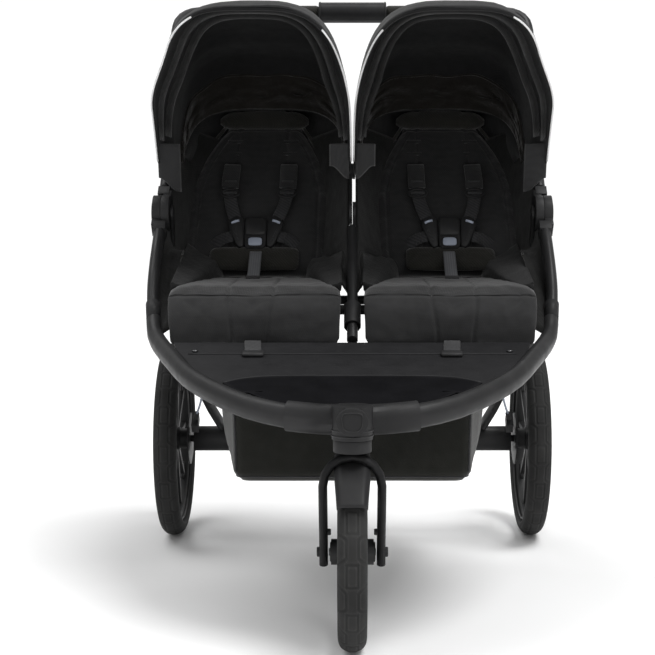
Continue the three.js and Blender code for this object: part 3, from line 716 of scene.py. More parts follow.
def canopy_front(side, name):
    """The shell, its hem, the casings of its bows, and what covers their feet."""
    upper, bow_body = "upper_frame", f"canopy_{name}"
    start, end = at(side * CANOPY_MIDDLE_X, 760, 860), at(side * CANOPY_MIDDLE_X, 300, 1020)
    shell = canopy_shell(side, name)
    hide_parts(f"canopy_fabric_{name}")
    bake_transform(shell)
    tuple(start)
    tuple(end)
    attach(arch_band(side, f"canopy_hem_{name}", (140.9, 143.9), (-1.2, 3.2), "canopy_fabric"), bow_body)
    brow = arch_band(side, f"canopy_bow_casing_{name}", (138.4, 139.4), (15, 26), "casing", 0.022, 0.3)
    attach(brow, bow_body)
    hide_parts(f"canopy_bow_{name}")
    second = arch_band(side, f"canopy_inner_casing_{name}", (131.5, 132.6), (30, 42), "casing", 0.024, 0.3)
    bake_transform(second)
    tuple(start)
    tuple(end)
    for label, low, high in (("outer", 0.62, 0.992), ("inner", 0.008, 0.30)):
        line = [hood(side, low + (high - low) * i / 60, HEM_ANGLE + 0.9, -0.6) for i in range(61)]
        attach(tube(f"canopy_reflective_{label}_{name}", line, 1.7, "reflective"), bow_body)
    foot_flap(side, name, "outer", (366, 328), (737, 711))
    foot_flap(side, name, "inner", (7, 43), (735, 760))
    cap_profile = [(0.1, -2.0), (15, -2.0), (16.5, -0.6), (14.5, 1.6), (9, 2.2), (8, 1.4), (0.1, 1.4)]
    for label, x in (("outer", 350.0), ("inner", 3.6)):
        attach(revolved(f"canopy_pivot_cap_{label}_{name}", cap_profile, at(side * x, *CANOPY_PIVOT)), upper)


def canopy_rear(side, name):
    """The wrinkled lining behind the head, and the outside panel from the rear bow down to the seat back."""
    upper, shell_name = "upper_frame", f"canopy_shell_{name}"
    upper_line, lower_line = [], []
    for i, t in enumerate(even_t(61)):
        upper_line.append(hood(side, t, 62 + 3.0 * ripple(i * 0.22, 4.0, side), 6))
        lower_line.append(hood(side, t, 40, 10) + Vector((0, -14 * MM, 0)))
    liner = panel_between(f"canopy_rear_liner_{name}", upper_line, lower_line, 2.0, "rear_lining", 26,
                          wave=26.0, seed=3.0 + side)
    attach(liner, upper)
    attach(tube(f"canopy_liner_seam_{name}", upper_line, 2.4, "rear_lining"), upper)

    top = [hood(side, t, REAR_ANGLE + 0.5) for t in even_t(REAR_ANGLE + 0.5)]
    rows = []
    for s in (k / 24 for k in range(25)):
        row = []
        for i, start in enumerate(top):
            u = 2 * i / 48 - 1
            behind = 1 - abs(u) ** 3
            over = at(side * (SKIRT_MIDDLE_X + 150 * u), 720 + 205 * behind, 800 + 135 * behind)
            foot = at(side * (SKIRT_MIDDLE_X + 152 * u), 760 + 137 * behind, 742)
            fold = 3.0 * ripple(i * 0.25, s * 2.5, 9.0 + side) * math.sin(math.pi * s)
            place = start * (1 - s) ** 2 + over * (2 * s * (1 - s)) + foot * s ** 2
            row.append(place + Vector((0, fold * MM, 0)))
        rows.append(row)
    skirt = sheet_object(f"canopy_rear_skirt_{name}", rows, 2.0, "canopy_fabric")
    for piece in (skirt, tube(f"canopy_skirt_hem_{name}", rows[-1], 2.6, "binding")):
        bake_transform(piece)
    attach(tube(f"canopy_rear_piping_{name}", top, 2.3, "binding"), upper)


for side_name, side_sign in SIDES:
    canopy_front(side_sign, side_name)
    canopy_rear(side_sign, side_name)


# ---------------------------------------------------------------- seats

SEAT_X = 172
SEAT_HALF = 148
APRON_BEND_Y = 336
COATED_CLOTH_Y = 344
SEAT_TOP_Z = 530
BACK_NORMAL = Vector((0, -math.sin(math.radians(BACK_ANGLE)), math.cos(math.radians(BACK_ANGLE))))
# The shoulder straps: sideways from the middle of the seat back, and width
STRAP_U = 57
STRAP_WIDTH = 25
# Half the width and the thickness of the seat back, by the distance up from its hinge
BACK_OUTLINE = [(6, 128), (22, 143), (60, 147), (197, 146), (250, 134), (288, 120), (330, 99), (357, 83),
                (392, 68), (404, 54)]
BACK_THICKNESS = [(6, 16), (30, 30), (200, 34), (320, 32), (370, 26), (404, 14)]


def back_x(along):
    """The middle of the seat back: it leans a little inwards towards the top."""
    return 194 - 0.035 * along


def back_ring(along):
    half_u, half_v = table(BACK_OUTLINE, along) + 3, table(BACK_THICKNESS, along) / 2
    return [back_point(back_x(along) + u, along, v - 22)
            for u, v in rounded_rectangle(40, half_u, half_v, 0.45, 0.5)]


def back_seams(x, y, z):
    """Seams, a raised edge and a worn dip on the front of the right seat back."""
    dy, dz = y - BACK_PIVOT[0], z - BACK_PIVOT[1]
    angle = math.radians(BACK_ANGLE)
    along = dy * math.cos(angle) + dz * math.sin(angle)
    lift = -dy * math.sin(angle) + dz * math.cos(angle)
    u = x - back_x(along)
    if lift < -24:
        return Vector((0, 0, 0))
    half = table(BACK_OUTLINE, along)
    groove = 3.6 * bump_at(50, 3.2, abs(u)) * ease(30, 60, along) * (1 - ease(345, 356, along))
    groove += 4.2 * bump_at(half - 27, 3.6, abs(u)) * ease(12, 30, along) * (1 - ease(325, 350, along))
    groove += 3.2 * bump_at(352, 3.2, along)
    raise_edge = 7.5 * bump_at(half - 14, 13, abs(u)) * (1 - ease(300, 380, along))
    dip = 5.0 * bump_at(0, 62, u) * bump_at(170, 150, along)
    crease = 1.4 * ripple(x * 0.03, along * 0.016, 3.0) + 0.7 * ripple(x * 0.07, along * 0.05, 8.0)
    return BACK_NORMAL * (ease(-24, -12, lift) * (raise_edge - groove - dip + crease))


def pan_ring(y, z, thick, ny, nz, narrow):
    """A section of the seat pan, with its thickness along (ny, nz)."""
    half = SEAT_HALF + 8 - narrow
    ring = []
    for angle in turns(40, 0.5):
        out = thick / 2 * rounded(math.sin(angle), 0.45)
        ring.append(at(SEAT_X + half * rounded(math.cos(angle), 0.4), y + ny * out, z + nz * out))
    return ring


def pan_seams(x, y, z):
    """Two seams that lean towards each other down the apron, cross seams on it, and wrinkles."""
    u = x - SEAT_X
    share = 1 - ease(442, 540, z)
    lines = bump_at(46 - 7 * share, 2.8, u) + bump_at(-(34 - 12 * share), 2.8, u)
    wrinkle = ripple(x * 0.022, y * 0.03, z * 0.03) + 0.5 * ripple(x * 0.06, y * 0.06, z * 0.05)
    if y < APRON_BEND_Y:
        cross = bump_at(529, 2.6, z) + 0.9 * bump_at(440, 3.0, z)
        return Vector((0, 3.4 * min(1.0, lines + cross) - 1.6 * wrinkle, 0))
    if z > SEAT_TOP_Z:
        back = 1 - ease(560, 610, y)
        dip = 3.0 * bump_at(480, 70, y) * bump_at(0, 70, u)
        return Vector((0, 0, -3.4 * lines * back + 1.6 * wrinkle - dip))
    return Vector((0, 0, 0))


def seat_cushions():
    """The simulated cushions of the right seat: its back, and its pan with the apron that hangs in front."""
    stations = [6, 12, 22, 36, *range(60, 241, 30), 265, 288, 310, 330, 345, 357, 372, 384, 394, 402]
    back = lofted("seat_back_pad_right", [back_ring(a) for a in stations], "seat_fabric")
    inflated(back, 7.0)
    shape(back, back_seams)
    level = [(658, 526, 12, 8), (645, 527, 18, 3), (610, 528, 24, 0), (565, 528, 26, 0), (520, 528, 27, 0),
             (460, 528, 27, 0), (400, 528, 26, 0), (356, 527, 24, 0)]
    half = math.sqrt(0.5)
    hanging = [(328, 508, 15, 0), (327, 490, 14, 1), (327, 466, 13, 3), (327, 447, 12, 5), (327, 437, 7, 10)]
    rings = [pan_ring(y, z, thick, 0, 1, narrow) for y, z, thick, narrow in level]
    rings.append(pan_ring(335, 521, 20, -half, half, 0))
    rings += [pan_ring(y, z, thick, -1, 0, narrow) for y, z, thick, narrow in hanging]
    pan = lofted("seat_pad_right", rings, "seat_fabric")
    inflated(pan, 6.0)
    shape(pan, pan_seams)
    pan.data.materials.append(MATERIALS["apron_fabric"])
    for face in pan.data.polygons:
        if face.center.y / MM - FRONT_AXLE_Y < COATED_CLOTH_Y:
            face.material_index = 1
    return back, pan


def back_place(side, along_centre, lift):
    """Puts (u, v, height) on the seat back: u sideways, v up the back."""
    return lambda u, v, h: back_point(side * (back_x(along_centre + v) + u), along_centre + v, lift + h)


def head_roll(side, name):
    rings = []
    for v in (-1 + i / 18 for i in range(37)):
        size = max(0.08, 1 - abs(v) ** 5) ** 0.5 * (1 - 0.12 * bump_at(0.52, 0.05, abs(v)))
        ring = []
        for angle in turns(20):
            along = 374 - 5 * v * v + 20 * size * rounded(math.sin(angle), 0.8)
            lift = 3 + 16 * size * rounded(math.cos(angle), 0.8) + 0.8 * ripple(v * 9, angle, side)
            ring.append(back_point(side * (back_x(373) + 91 * v), along, lift))
        rings.append(ring)
    roll = lofted(f"head_roll_{name}", rings, "pad_fabric")
    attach(roll, f"seat_back_{name}")


def hip_pad(side, name):
    """A thin stuffed pad low on the seat back, with two seams."""
    half_u, half_v, thick, steps = 88, 26, 11, 26
    place = back_place(side, 37, 2)
    seed = side + 4.0
    rings = []
    for v in (-1 + 2 * r / steps for r in range(steps + 1)):
        top, bottom = [], []
        for u in (-1 + 2 * c / steps for c in range(steps + 1)):
            full = max(0.0, (1 - u ** 4) * (1 - v ** 4)) ** 0.5
            height = thick * (0.12 + 0.88 * full)
            height -= sum(0.35 * thick * bump_at(seam, 2.6, u * half_u) for seam in (-34, 34)) * full
            height += 0.8 * ripple(u * 3.1 + seed, v * 2.3, seed) * full
            corner = (u * half_u * (1 - 0.10 * abs(v) ** 5), v * half_v * (1 - 0.06 * abs(u) ** 6 * v ** 4))
            top.append(place(*corner, height))
            bottom.append(place(*corner, 0.0))
        rings.append([*top, *reversed(bottom)])
    pad = lofted(f"hip_pad_{name}", rings, "pad_fabric")
    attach(pad, f"seat_back_{name}")


def seat_trim(side, name):
    """Piping round the seat back, head roll, hip pad, and three pairs of slots for the straps."""
    body = f"seat_back_{name}"
    stations = [10, 30, 60, 100, 140, 180, 210, 240, 265, 288, 310, 330, 357]
    for label, sign in (("inner", -1), ("outer", 1)):
        path = [back_point(side * (back_x(a) + sign * (table(BACK_OUTLINE, a) - 1) * 0.985), a, -3)
                for a in stations[::-sign]]
        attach(tube(f"seat_back_piping_{label}_{name}", spline(path, 4), 3.4, "pad_fabric", sides=10), body)
    head_roll(side, name)
    hip_pad(side, name)
    for row, along in enumerate((262, 292, 322)):
        lift, thick, finish = (-3.0, 3.2, "seat_fabric") if row else (-1.5, 4.4, "moulded_plastic")
        for label, sign in (("in", -1), ("out", 1)):
            middle = sign * STRAP_U
            outline = [(middle + u, v) for u, v in ((-15, -3.4), (-15, 3.4), (15, 3.4), (15, -3.4))]
            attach(rounded_prism(f"harness_slot_{row}_{label}_{name}", outline, 0.0, thick,
                                  back_place(side, along, lift), 0.9, finish), body)


def side_panel(side, name, label, sign, wall):
    """Cloth from the frame's tubes to the edge of the seat; the outer one also closes the apron's side."""
    tube_line = [(wall, 424, 525), (wall, 455, 555), (wall, 496, 597), (wall, 532, 634), (wall, 562, 664),
                 (wall, 598, 702), (wall, 640, 748), (wall, 690, 800), (wall, 728, 846)]
    edge = SEAT_X + sign * 150
    seat_line = [(edge - sign, 424, 549), (edge, 500, 572), (edge, 572, 600)]
    if sign > 0:
        tube_line[0] = (wall - 2, 337, 450)
        seat_line[0] = (SEAT_X + 146, 336, 472)
    first = [at(side * x, y, z) for x, y, z in tube_line]
    second = [at(side * x, y, z) for x, y, z in seat_line]
    for along in (50, 105, 165, 225, 280, 335):
        x = back_x(along) + sign * (table(BACK_OUTLINE, along) - 16)
        second.append(back_point(side * x, along, -20))
    panel = panel_between(f"seat_side_panel_{label}_{name}", spline(first, 8), spline(second, 8), 2.4,
                          "lining_fabric", 14, wave=7.0, seed=2.0 + sign + side)
    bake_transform(panel)


def bolster(side, name, label, sign):
    """A side bolster on the pan, which rises and widens towards the seat back."""
    rings = []
    for s in (k / 24 for k in range(25)):
        ridge_x, ridge_z = 147 - 56 * s, 545 + 38 * s
        outer_z = ridge_z + 3 + 25 * s
        drop = 3 + 16 * s
        section = [(152, 534), (153, outer_z - 2)]
        for u in (j / 7 for j in range(8)):
            sag = 5 * math.sin(math.pi * u) * s
            section.append((151 + (ridge_x - 151) * u, outer_z + (ridge_z - outer_z) * u - sag))
        section += [(ridge_x - 4, ridge_z - 0.12 * drop), (ridge_x - 9, ridge_z - 0.5 * drop),
                    (ridge_x - 13, ridge_z - drop), (ridge_x - 15, 534)]
        rings.append([at(side * (SEAT_X + sign * x), 388 + 282 * s, z) for x, z in section])
    solid = lofted(f"seat_bolster_{label}_{name}", rings, "bolster_fabric")
    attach(solid, "chassis")


def seat_rear(side, name):
    """The rear shell of the seat back, with a stitched pocket."""
    body = f"seat_back_{name}"

    def shell_place(s, u):
        u = 2 * u - 1
        along = 14 + 372 * s
        bulge = -46 - 7 * math.cos(u * math.pi / 2) * math.sin(math.pi * s) + 9 * ease(0.8, 1.0, abs(u))
        bulge += 1.2 * ripple(u * 2, along * 0.02, 5 + side)
        return back_point(side * (back_x(along) + (table(BACK_OUTLINE, along) - 5) * u), along, bulge)

    def pocket_place(s, u):
        u = 2 * u - 1
        along = 60 + 150 * s
        bulge = -56 - 8 * math.cos(u * math.pi / 2) * (0.25 + 0.75 * s)
        bulge += ripple(u * 3, along * 0.04, 9 + side)
        return back_point(side * (back_x(along) + 104 * u), along, bulge)

    shell = sheet_object(f"seat_back_cover_{name}", grid(24, 20, shell_place), 2.2, "canopy_fabric")
    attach(shell, body)
    pocket_rows = grid(14, 16, pocket_place)
    pocket = sheet_object(f"seat_back_pocket_{name}", pocket_rows, 1.8, "basket_fabric")
    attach(pocket, body)
    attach(strap(f"seat_back_pocket_hem_{name}", pocket_rows[-1], -BACK_NORMAL, 14, 3.0, "binding"), body)


# ---------------------------------------------------------------- harness

def back_line(side, sign, points):
    """Places on the seat back from (sideways from its middle, along, lift), on the side of the sign."""
    return [back_point(side * back_x(along) + sign * u, along, lift) for u, along, lift in points]


def shoulder_strap(side, name, label, sign):
    """Webbing from the slot to the buckle, with its pad, adjuster and keeper."""
    body = f"seat_back_{name}"
    lower = [(STRAP_U, 264, -1), (STRAP_U, 252, 6), (57.5, 215, 9), (STRAP_U, 185, 10.5), (52, 155, 11.5),
             (43, 126, 12.5)]
    path = spline(back_line(side, sign, lower), 6)
    web = strap(f"harness_strap_{label}_{name}", path, BACK_NORMAL, STRAP_WIDTH, 2.4, "webbing")
    if sign < 0:
        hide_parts(f"harness_{name}")
    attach(web, body)
    cover = [(STRAP_U, 256, 7.5), (57.5, 236, 11.5), (58, 214, 13), (57.5, 198, 12.5)]
    path = spline(back_line(side, sign, cover), 6)
    pad = strap(f"harness_pad_{label}_{name}", path, BACK_NORMAL, 34, 7.0, "seat_fabric")
    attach(pad, body)
    middle = side * back_x(184) + sign * STRAP_U
    ring = [back_point(middle + 17.5 * math.cos(t), 184 + 9.5 * math.sin(t), 14) for t in turns(28)]
    adjuster = tube(f"harness_adjuster_{label}_{name}", ring, 2.5, "moulded_plastic", sides=10, closed=True)
    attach(adjuster, body)
    for part, along, width in (("bar", 184, 14), ("keeper", 211, 12)):
        ends = back_line(side, sign, [(STRAP_U + sign * w, along, 16.4) for w in (-width, 0, width)])
        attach(tube(f"harness_{part}_{label}_{name}", ends, 1.9, "binding"), body)


def waist_strap(side, name, label, sign):
    body = f"seat_back_{name}"
    waist = [(45, 84, 11), (58, 81, 9.5), (72, 76, 5), (84, 68, -4)]
    path = spline(back_line(side, sign, waist), 6)
    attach(strap(f"waist_strap_{label}_{name}", path, BACK_NORMAL, STRAP_WIDTH, 2.4, "webbing"), body)
    for fold, spot in enumerate((56, 61, 66)):
        middle = side * back_x(80) + sign * spot
        ridge = [back_point(middle, 80 + w, 11.2 - 0.28 * (spot - 56)) for w in (-12, 0, 12)]
        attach(tube(f"waist_strap_ridge_{fold}_{label}_{name}", ridge, 1.3, "webbing", sides=6), body)


def buckle_wing(side, name, label, sign):
    """The tongue that joins the two straps of one side to the buckle."""
    body = f"seat_back_{name}"
    middle = side * back_x(90)
    wing = [(23, 61), (31, 58), (38, 66), (50, 96), (54, 112), (50, 124), (39, 131), (28, 128), (23, 117)]
    slot = [(30, 72), (33, 70), (44, 96), (41, 98)]

    def place(u, v, h):
        return back_point(middle + sign * u, v, h)

    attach(rounded_prism(f"buckle_wing_{label}_{name}", wing, 6, 15, place, 1.6), body)
    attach(rounded_prism(f"buckle_wing_slot_{label}_{name}", slot, 13, 16.4, place, 0.6, "webbing"), body)
    bar = [place(u, v, 16.5) for u, v in ((33, 118), (40, 116), (48, 112))]
    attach(tube(f"buckle_wing_bar_{label}_{name}", bar, 2.6, "button_plastic"), body)


def buckle(side, name):
    """Shell, raised cover, and the press button in its bezel."""
    body = f"seat_back_{name}"

    def place(u, v, h):
        return back_point(side * back_x(90) + u, v, h)

    def button_line(half_u, half_v):
        return [(u, 68.5 + v) for u, v in rounded_rectangle(40, half_u, half_v, 0.5)]

    outline = [(-15, 55), (15, 55), (20, 60), (21.5, 70), (22, 116), (18, 128), (-18, 128), (-22, 116),
               (-21.5, 70), (-20, 60)]
    shell = rounded_prism(f"buckle_shell_{name}", outline, 4.5, 16.5, place, 2.2)
    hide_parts(f"buckle_{name}")
    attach(shell, body)
    outline = [(-18, 83), (18, 83), (20.5, 88), (20.5, 116), (16, 125), (-16, 125), (-20.5, 116), (-20.5, 88)]
    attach(rounded_prism(f"buckle_cover_{name}", outline, 15, 20.4, place, 2.4, "frame_metal"), body)
    bezel = [place(u, v, 17.2) for u, v in button_line(16, 11.5)]
    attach(tube(f"buckle_bezel_{name}", bezel, 1.5, "moulded_plastic", closed=True), body)
    press = rounded_prism(f"buckle_press_{name}", button_line(13.6, 9.4), 15.6, 18.9, place, 1.6,
                          "button_plastic")
    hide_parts(f"buckle_button_{name}")
    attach(press, f"buckle_button_{name}")


def crotch_strap(side, name):
    x = side * 189
    end_y, end_z = polar(BACK_PIVOT, BACK_ANGLE, 52)
    route = [at(x, 551, 546.5), at(x, 565, 551), at(x, 590, 562), at(x, 614, 577)]
    route.append(at(x, end_y - 12, end_z + 3))
    web = strap(f"crotch_web_{name}", spline(route, 6), Vector((0, -0.55, 0.83)), 24, 3.2, "crotch_webbing")
    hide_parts(f"crotch_strap_{name}")
    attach(web, "chassis")
    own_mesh(web)
    end = spline([at(x, 546, 545.5), at(x, 551, 548.5), at(x, 557, 550.5)], 4)
    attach(strap(f"crotch_web_end_{name}", end, Vector((0, -0.5, 0.86)), 27, 4.6, "webbing"), "chassis")


def apron_tab(side, name):
    """The strap under the apron that clips it to the footplate."""
    x = side * 174
    path = spline([at(x, 328, 450), at(x, 316, 449.6), at(x * 0.993, 300, 449.2), at(x * 0.98, 270, 443.6),
                   at(x * 0.965, 238, 437.2)], 5)
    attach(strap(f"apron_tab_{name}", path, Vector((0, -0.25, 1)), 29, 3.4, "webbing"), "chassis")
    outline = [(-17, -9), (17, -9), (18.5, -5), (18.5, 6), (15, 9), (-15, 9), (-18.5, 6), (-18.5, -5)]

    def place(u, v, h):
        return at(x * 0.965 + u, 233 + v, 434.5 + FOOTPLATE_SLOPE * v + h)

    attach(rounded_prism(f"apron_clip_{name}", outline, 0.0, 6.0, place, 1.6), "chassis")


def declare_cushions(name, back_pad, seat_pad):
    for pad, node, body in ((back_pad, f"seat_back_{name}", f"seat_back_{name}"),
                            (seat_pad, f"seat_cushion_{name}", "chassis")):
        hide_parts(node)
        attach(pad, body)


right_back, right_pan = seat_cushions()
cushions = {"right": (right_back, right_pan),
            "left": (mirrored(right_back, "seat_back_pad_left"), mirrored(right_pan, "seat_pad_left"))}
for side_name, side_sign in SIDES:
    declare_cushions(side_name, *cushions[side_name])
    seat_trim(side_sign, side_name)
    for part, part_sign, wall_x in (("outer", 1, 354), ("inner", -1, 7)):
        side_panel(side_sign, side_name, part, part_sign, wall_x)
        bolster(side_sign, side_name, part, part_sign)
    seat_rear(side_sign, side_name)
    for part, part_sign in (("in", -1), ("out", 1)):
        shoulder_strap(side_sign, side_name, part, part_sign)
        waist_strap(side_sign, side_name, part, part_sign)
        buckle_wing(side_sign, side_name, part, part_sign)
    buckle(side_sign, side_name)
    crotch_strap(side_sign, side_name)
    apron_tab(side_sign, side_name)


# ---------------------------------------------------------------- basket

CORNER_RADIUS = 18
CLOTH_OUTSIDE = 1.4
# Each level: height, half width, front, back
BASKET_LEVELS = [(203.5, 228, 321, 607), (209, 236, 312, 615), (220, 243, 304, 621), (240, 248, 302, 626),
                 (265, 252, 301, 632), (300, 256, 300, 640), (340, 259, 300, 646), (380, 261, 300, 652),
                 (400, 262, 300, 655)]


def basket_ring(z, shrink=0.0):
    """A rounded outline at a height, narrower in front, its cloth sides slack between the corners."""
    half = table(BASKET_LEVELS, z) - shrink
    front = table(BASKET_LEVELS, z, 2) + shrink
    back = table(BASKET_LEVELS, z, 3) - shrink
    narrow = 196 + 12 * ease(203, 220, z) + 3 * ease(220, 400, z) - shrink
    corners = []
    for x, y, quarter in ((half, back, 0), (-half, back, 1), (-narrow, front, 2), (narrow, front, 3)):
        centre = (x - math.copysign(CORNER_RADIUS, x), y - (CORNER_RADIUS if y == back else -CORNER_RADIUS))
        corners.append([polar(centre, 90 * quarter + 15 * k, CORNER_RADIUS) for k in range(7)])
    slack = 5.0 * math.sin(math.pi * min(1.0, max(0.0, (z - 203) / 199)))
    ring = []
    for i, corner in enumerate(corners):
        ring += corner
        (x0, y0), (x1, y1) = corner[-1], corners[(i + 1) % 4][0]
        for s in (k / 22 for k in range(1, 22)):
            x, y = x0 + (x1 - x0) * s, y0 + (y1 - y0) * s
            inwards = slack * math.sin(math.pi * s) + 1.6 * ripple(x * 0.02, z * 0.02, y * 0.02)
            if i in (0, 2):
                y += inwards * (-0.8 if y > 480 else 0.8)
            else:
                x += inwards * (-1 if x > 0 else 1)
            ring.append((x, y))
    return [at(x, y, z) for x, y in ring]


def basket_shell():
    """Floor and sides in one piece of cloth."""
    base = basket_ring(203.5)
    middle = sum(base, Vector()) / len(base)
    rings = []
    for share in (0.02, 0.2, 0.4, 0.6, 0.8, 0.93):
        ring = []
        for place in (middle + (p - middle) * share for p in base):
            z = 204.5 - math.cos(share * math.pi / 2) + 0.8 * noise.noise(place * 14)
            ring.append(Vector((place.x, place.y, z * MM)))
        rings.append(ring)
    for z in (203.5, 206, 209, 214, 220, 230, 245, 262, *range(280, 381, 20), 394, 400):
        rings.append(basket_ring(z))
    faces = [*grid_faces(len(rings), len(base), True), tuple(range(len(base)))]
    points = [p for ring in rings for p in ring]
    shell = thicken(mesh_object("basket_shell", points, faces, "basket_fabric"), 2.2)
    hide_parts("cargo_basket")
    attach(shell, "chassis")


def basket_front_panel():
    """The slope of cloth between the basket's front rim and the footplate."""
    def place(s, u):
        u = 2 * u - 1
        droop = 3.0 * math.sin(math.pi * s) + 1.2 * ripple(u * 5, s * 3, 1.0)
        return at(u * (204 + 8 * s), 300.5 + 3 * s - droop * 0.6, 400 + 34 * s)

    lip = sheet_object("basket_front_panel", grid(8, 40, place), 2.0, "basket_fabric")
    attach(lip, "chassis")


def basket_trim():
    """Rim, stitching, piping along the floor and the corners, and four hangers."""
    for name, z, out, radius, finish, sides in (("rim", 399, 0.0, 4.2, "binding", 10),
                                                ("hem_stitch", 388, 0.8, 1.0, "webbing", 6),
                                                ("floor_piping", 212, CLOTH_OUTSIDE, 1.9, "binding", 8)):
        edge = tube(f"basket_{name}", basket_ring(z, -out), radius, finish, sides=sides, closed=True)
        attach(edge, "chassis")
    hangers = (("front", 150, ((304, 392), (300, 412), (299, 436)), -1),
               ("rear", 170, ((650, 392), (640, 430), (612, 496)), 1))
    for side, sign in SIDES:
        for end, x, points, facing in hangers:
            outward = Vector((sign, 0.8 * facing, 0))
            corner = [max(basket_ring(z, -CLOTH_OUTSIDE), key=outward.dot) for z in range(212, 397, 12)]
            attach(tube(f"basket_corner_piping_{end}_{side}", corner, 1.9, "binding"), "chassis")
            path = spline([at(sign * x, y, z) for y, z in points], 4)
            hanger = strap(f"basket_hanger_{end}_{side}", path, Vector((0, facing, 0)), 25, 2.4, "webbing")
            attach(hanger, "chassis")


basket_shell()
basket_trim()
basket_front_panel()


# ---------------------------------------------------------------- wheels

TYRE_DEPTH = 24
GROOVE = 1.7


def tread_depth(arc, across, period):
    """Depth, 0 to 1, of the tread's grooves: rounded boxes on the crown between pairs of side brackets."""
    def line(distance):
        return max(0.0, 1 - (distance / GROOVE) ** 2)

    side = abs(across)
    box_u, box_v = side - 8.5, abs((arc + period / 2) % period - period / 2) - 17.0
    inside = box_u < 0 and box_v < 0
    depth = line(max(box_u, box_v) if inside else math.hypot(max(box_u, 0), max(box_v, 0)))
    far = abs(arc % period - period / 2)
    if far < 14:
        return max(depth, line(side - 9.0))
    if side >= 8.0:
        return max(depth, line(far - 14 - (side - 9.0) * 0.8))
    return depth


def treaded_tyre(name, centre, outer, width, body, node):
    steps = 46
    girth = 2 * math.pi * outer
    period = girth / round(girth / 80)
    bead = outer - TYRE_DEPTH
    profile = []
    for angle in (math.pi * i / steps for i in range(steps + 1)):
        profile.append((bead + TYRE_DEPTH * max(0.0, math.sin(angle)) ** 0.8, -width / 2 * math.cos(angle)))
    profile += [(bead - 3, along) for along in (width / 2 - 6, 0, 6 - width / 2)]
    rings = []
    for turn in turns(int(girth / 2.4)):
        ring = []
        for k, (radius, along) in enumerate(profile):
            if 6 < k < steps - 6:
                radius -= GROOVE * tread_depth(turn * outer, along, period)
            if k in (4, steps - 4):
                radius -= 0.5
            ring.append(centre + Vector((along, radius * math.cos(turn), radius * math.sin(turn))) * MM)
        rings.append(ring)
    tyre = lofted(name, rings, "tyre", closed=True)
    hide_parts(node)
    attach(tyre, body)


def wheel_details(label, centre, rim_outer, half_width, body, facing):
    """Rim flanges, the webs between the pairs of spokes, and the valve."""
    profile = [(rim_outer - drop, along) for drop, along in
               ((9.5, -1.4), (8.5, -2.2), (5.0, -2.2), (4.0, -1.0), (5.0, 1.0), (8.5, 1.6))]
    for flange, sign in (("outer", 1), ("inner", -1)):
        place = centre + X_AXIS * (sign * facing * (half_width + 0.4) * MM)
        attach(revolved(f"rim_flange_{flange}_{label}", profile, place, "rim_plastic", 120), body)
    for i, angle in enumerate(turns(5, 0.5)):
        direction = Vector((0, math.cos(angle), math.sin(angle)))
        lateral = direction.cross(X_AXIS)
        foot = centre + direction * (rim_outer - 26) * MM
        web = [foot + (direction * v + lateral * u) * MM
               for u, v in ((-20, 11), (-13, 4), (0, 0), (13, 4), (20, 11))]
        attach(tube(f"rim_web_{i}_{label}", web, 3.4, "rim_plastic"), body)
    direction = Vector((0, math.cos(0.95), math.sin(0.95)))
    stem = [centre + (direction * (rim_outer - drop) + X_AXIS * (facing * 3)) * MM
            for drop in (15, 22, 24, 36)]
    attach(tube(f"valve_{label}", stem, [3.4, 3.2, 2.6, 2.4], "tyre", sides=10), body)


def wheels():
    cap = [(8.5, -1.5), (22, -1.5), (24.5, 0.5), (23, 3.2), (17, 4.4), (9.5, 4.6), (8.5, 3.4)]
    seal = [(7.5, -1.2), (14, -1.2), (16, 0.4), (14.5, 1.8), (7.5, 2.2)]
    for name, sign in SIDES:
        hub = at(sign * 369.5, *REAR_HUB)
        wheel = f"rear_wheel_{name}"
        treaded_tyre(f"rear_tread_{name}", hub, 200, 46, wheel, f"rear_tyre_{name}")
        wheel_details(f"rear_{name}", hub, 172.7, 15, wheel, sign)
        hub_cap = revolved(f"hub_cap_{name}", cap, at(sign * 380, *REAR_HUB), segments=64, flip=sign < 0)
        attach(hub_cap, wheel)
        front_seal = revolved(f"front_hub_seal_{name}", seal, at(sign * 33.5, *FRONT_HUB), "rim_plastic")
        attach(front_seal, "front_wheel")
    treaded_tyre("front_tread", at(0, *FRONT_HUB), 153, 45, "front_wheel", "front_tyre")
    wheel_details("front", at(0, *FRONT_HUB), 125.7, 14, "front_wheel", 1)


wheels()


# ---------------------------------------------------------------- frame details

# Half the width of the toe area, by the distance behind the front axle
TOE_WIDTH = [(-22, 60), (-12, 88), (0, 118), (20, 146), (40, 168), (60, 186), (80, 200), (97, 208)]
TOE_FRONT = -18
TOE_REAR = 126


def on_footplate(x, y, lift):
    return at(x, y, 365 + FOOTPLATE_SLOPE * (y + 60) + lift)


def toe_area():
    """The toe area, painted dark as the shade of its recess, in front of a low curved step across the plate.
    """
    def place(s, u):
        u = 2 * u - 1
        y = TOE_FRONT + (TOE_REAR - TOE_FRONT) * s
        edge_y = TOE_FRONT + 115 * s
        if s > 0.5:
            y -= (y - edge_y) * abs(u) ** 5
        return on_footplate(u * min(table(TOE_WIDTH, edge_y), 207), min(y, TOE_REAR - 34 * u ** 6), 6.4)

    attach(sheet_object("footplate_toe_shade", grid(26, 60, place), 2.0, "toe_mat"), "chassis")
    step = [on_footplate(u * 206, TOE_REAR + 2 - 34 * u ** 6, 6.4) for u in (-1 + i / 30 for i in range(61))]
    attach(tube("footplate_step", step, 2.2, "footplate_plastic", sides=10), "chassis")


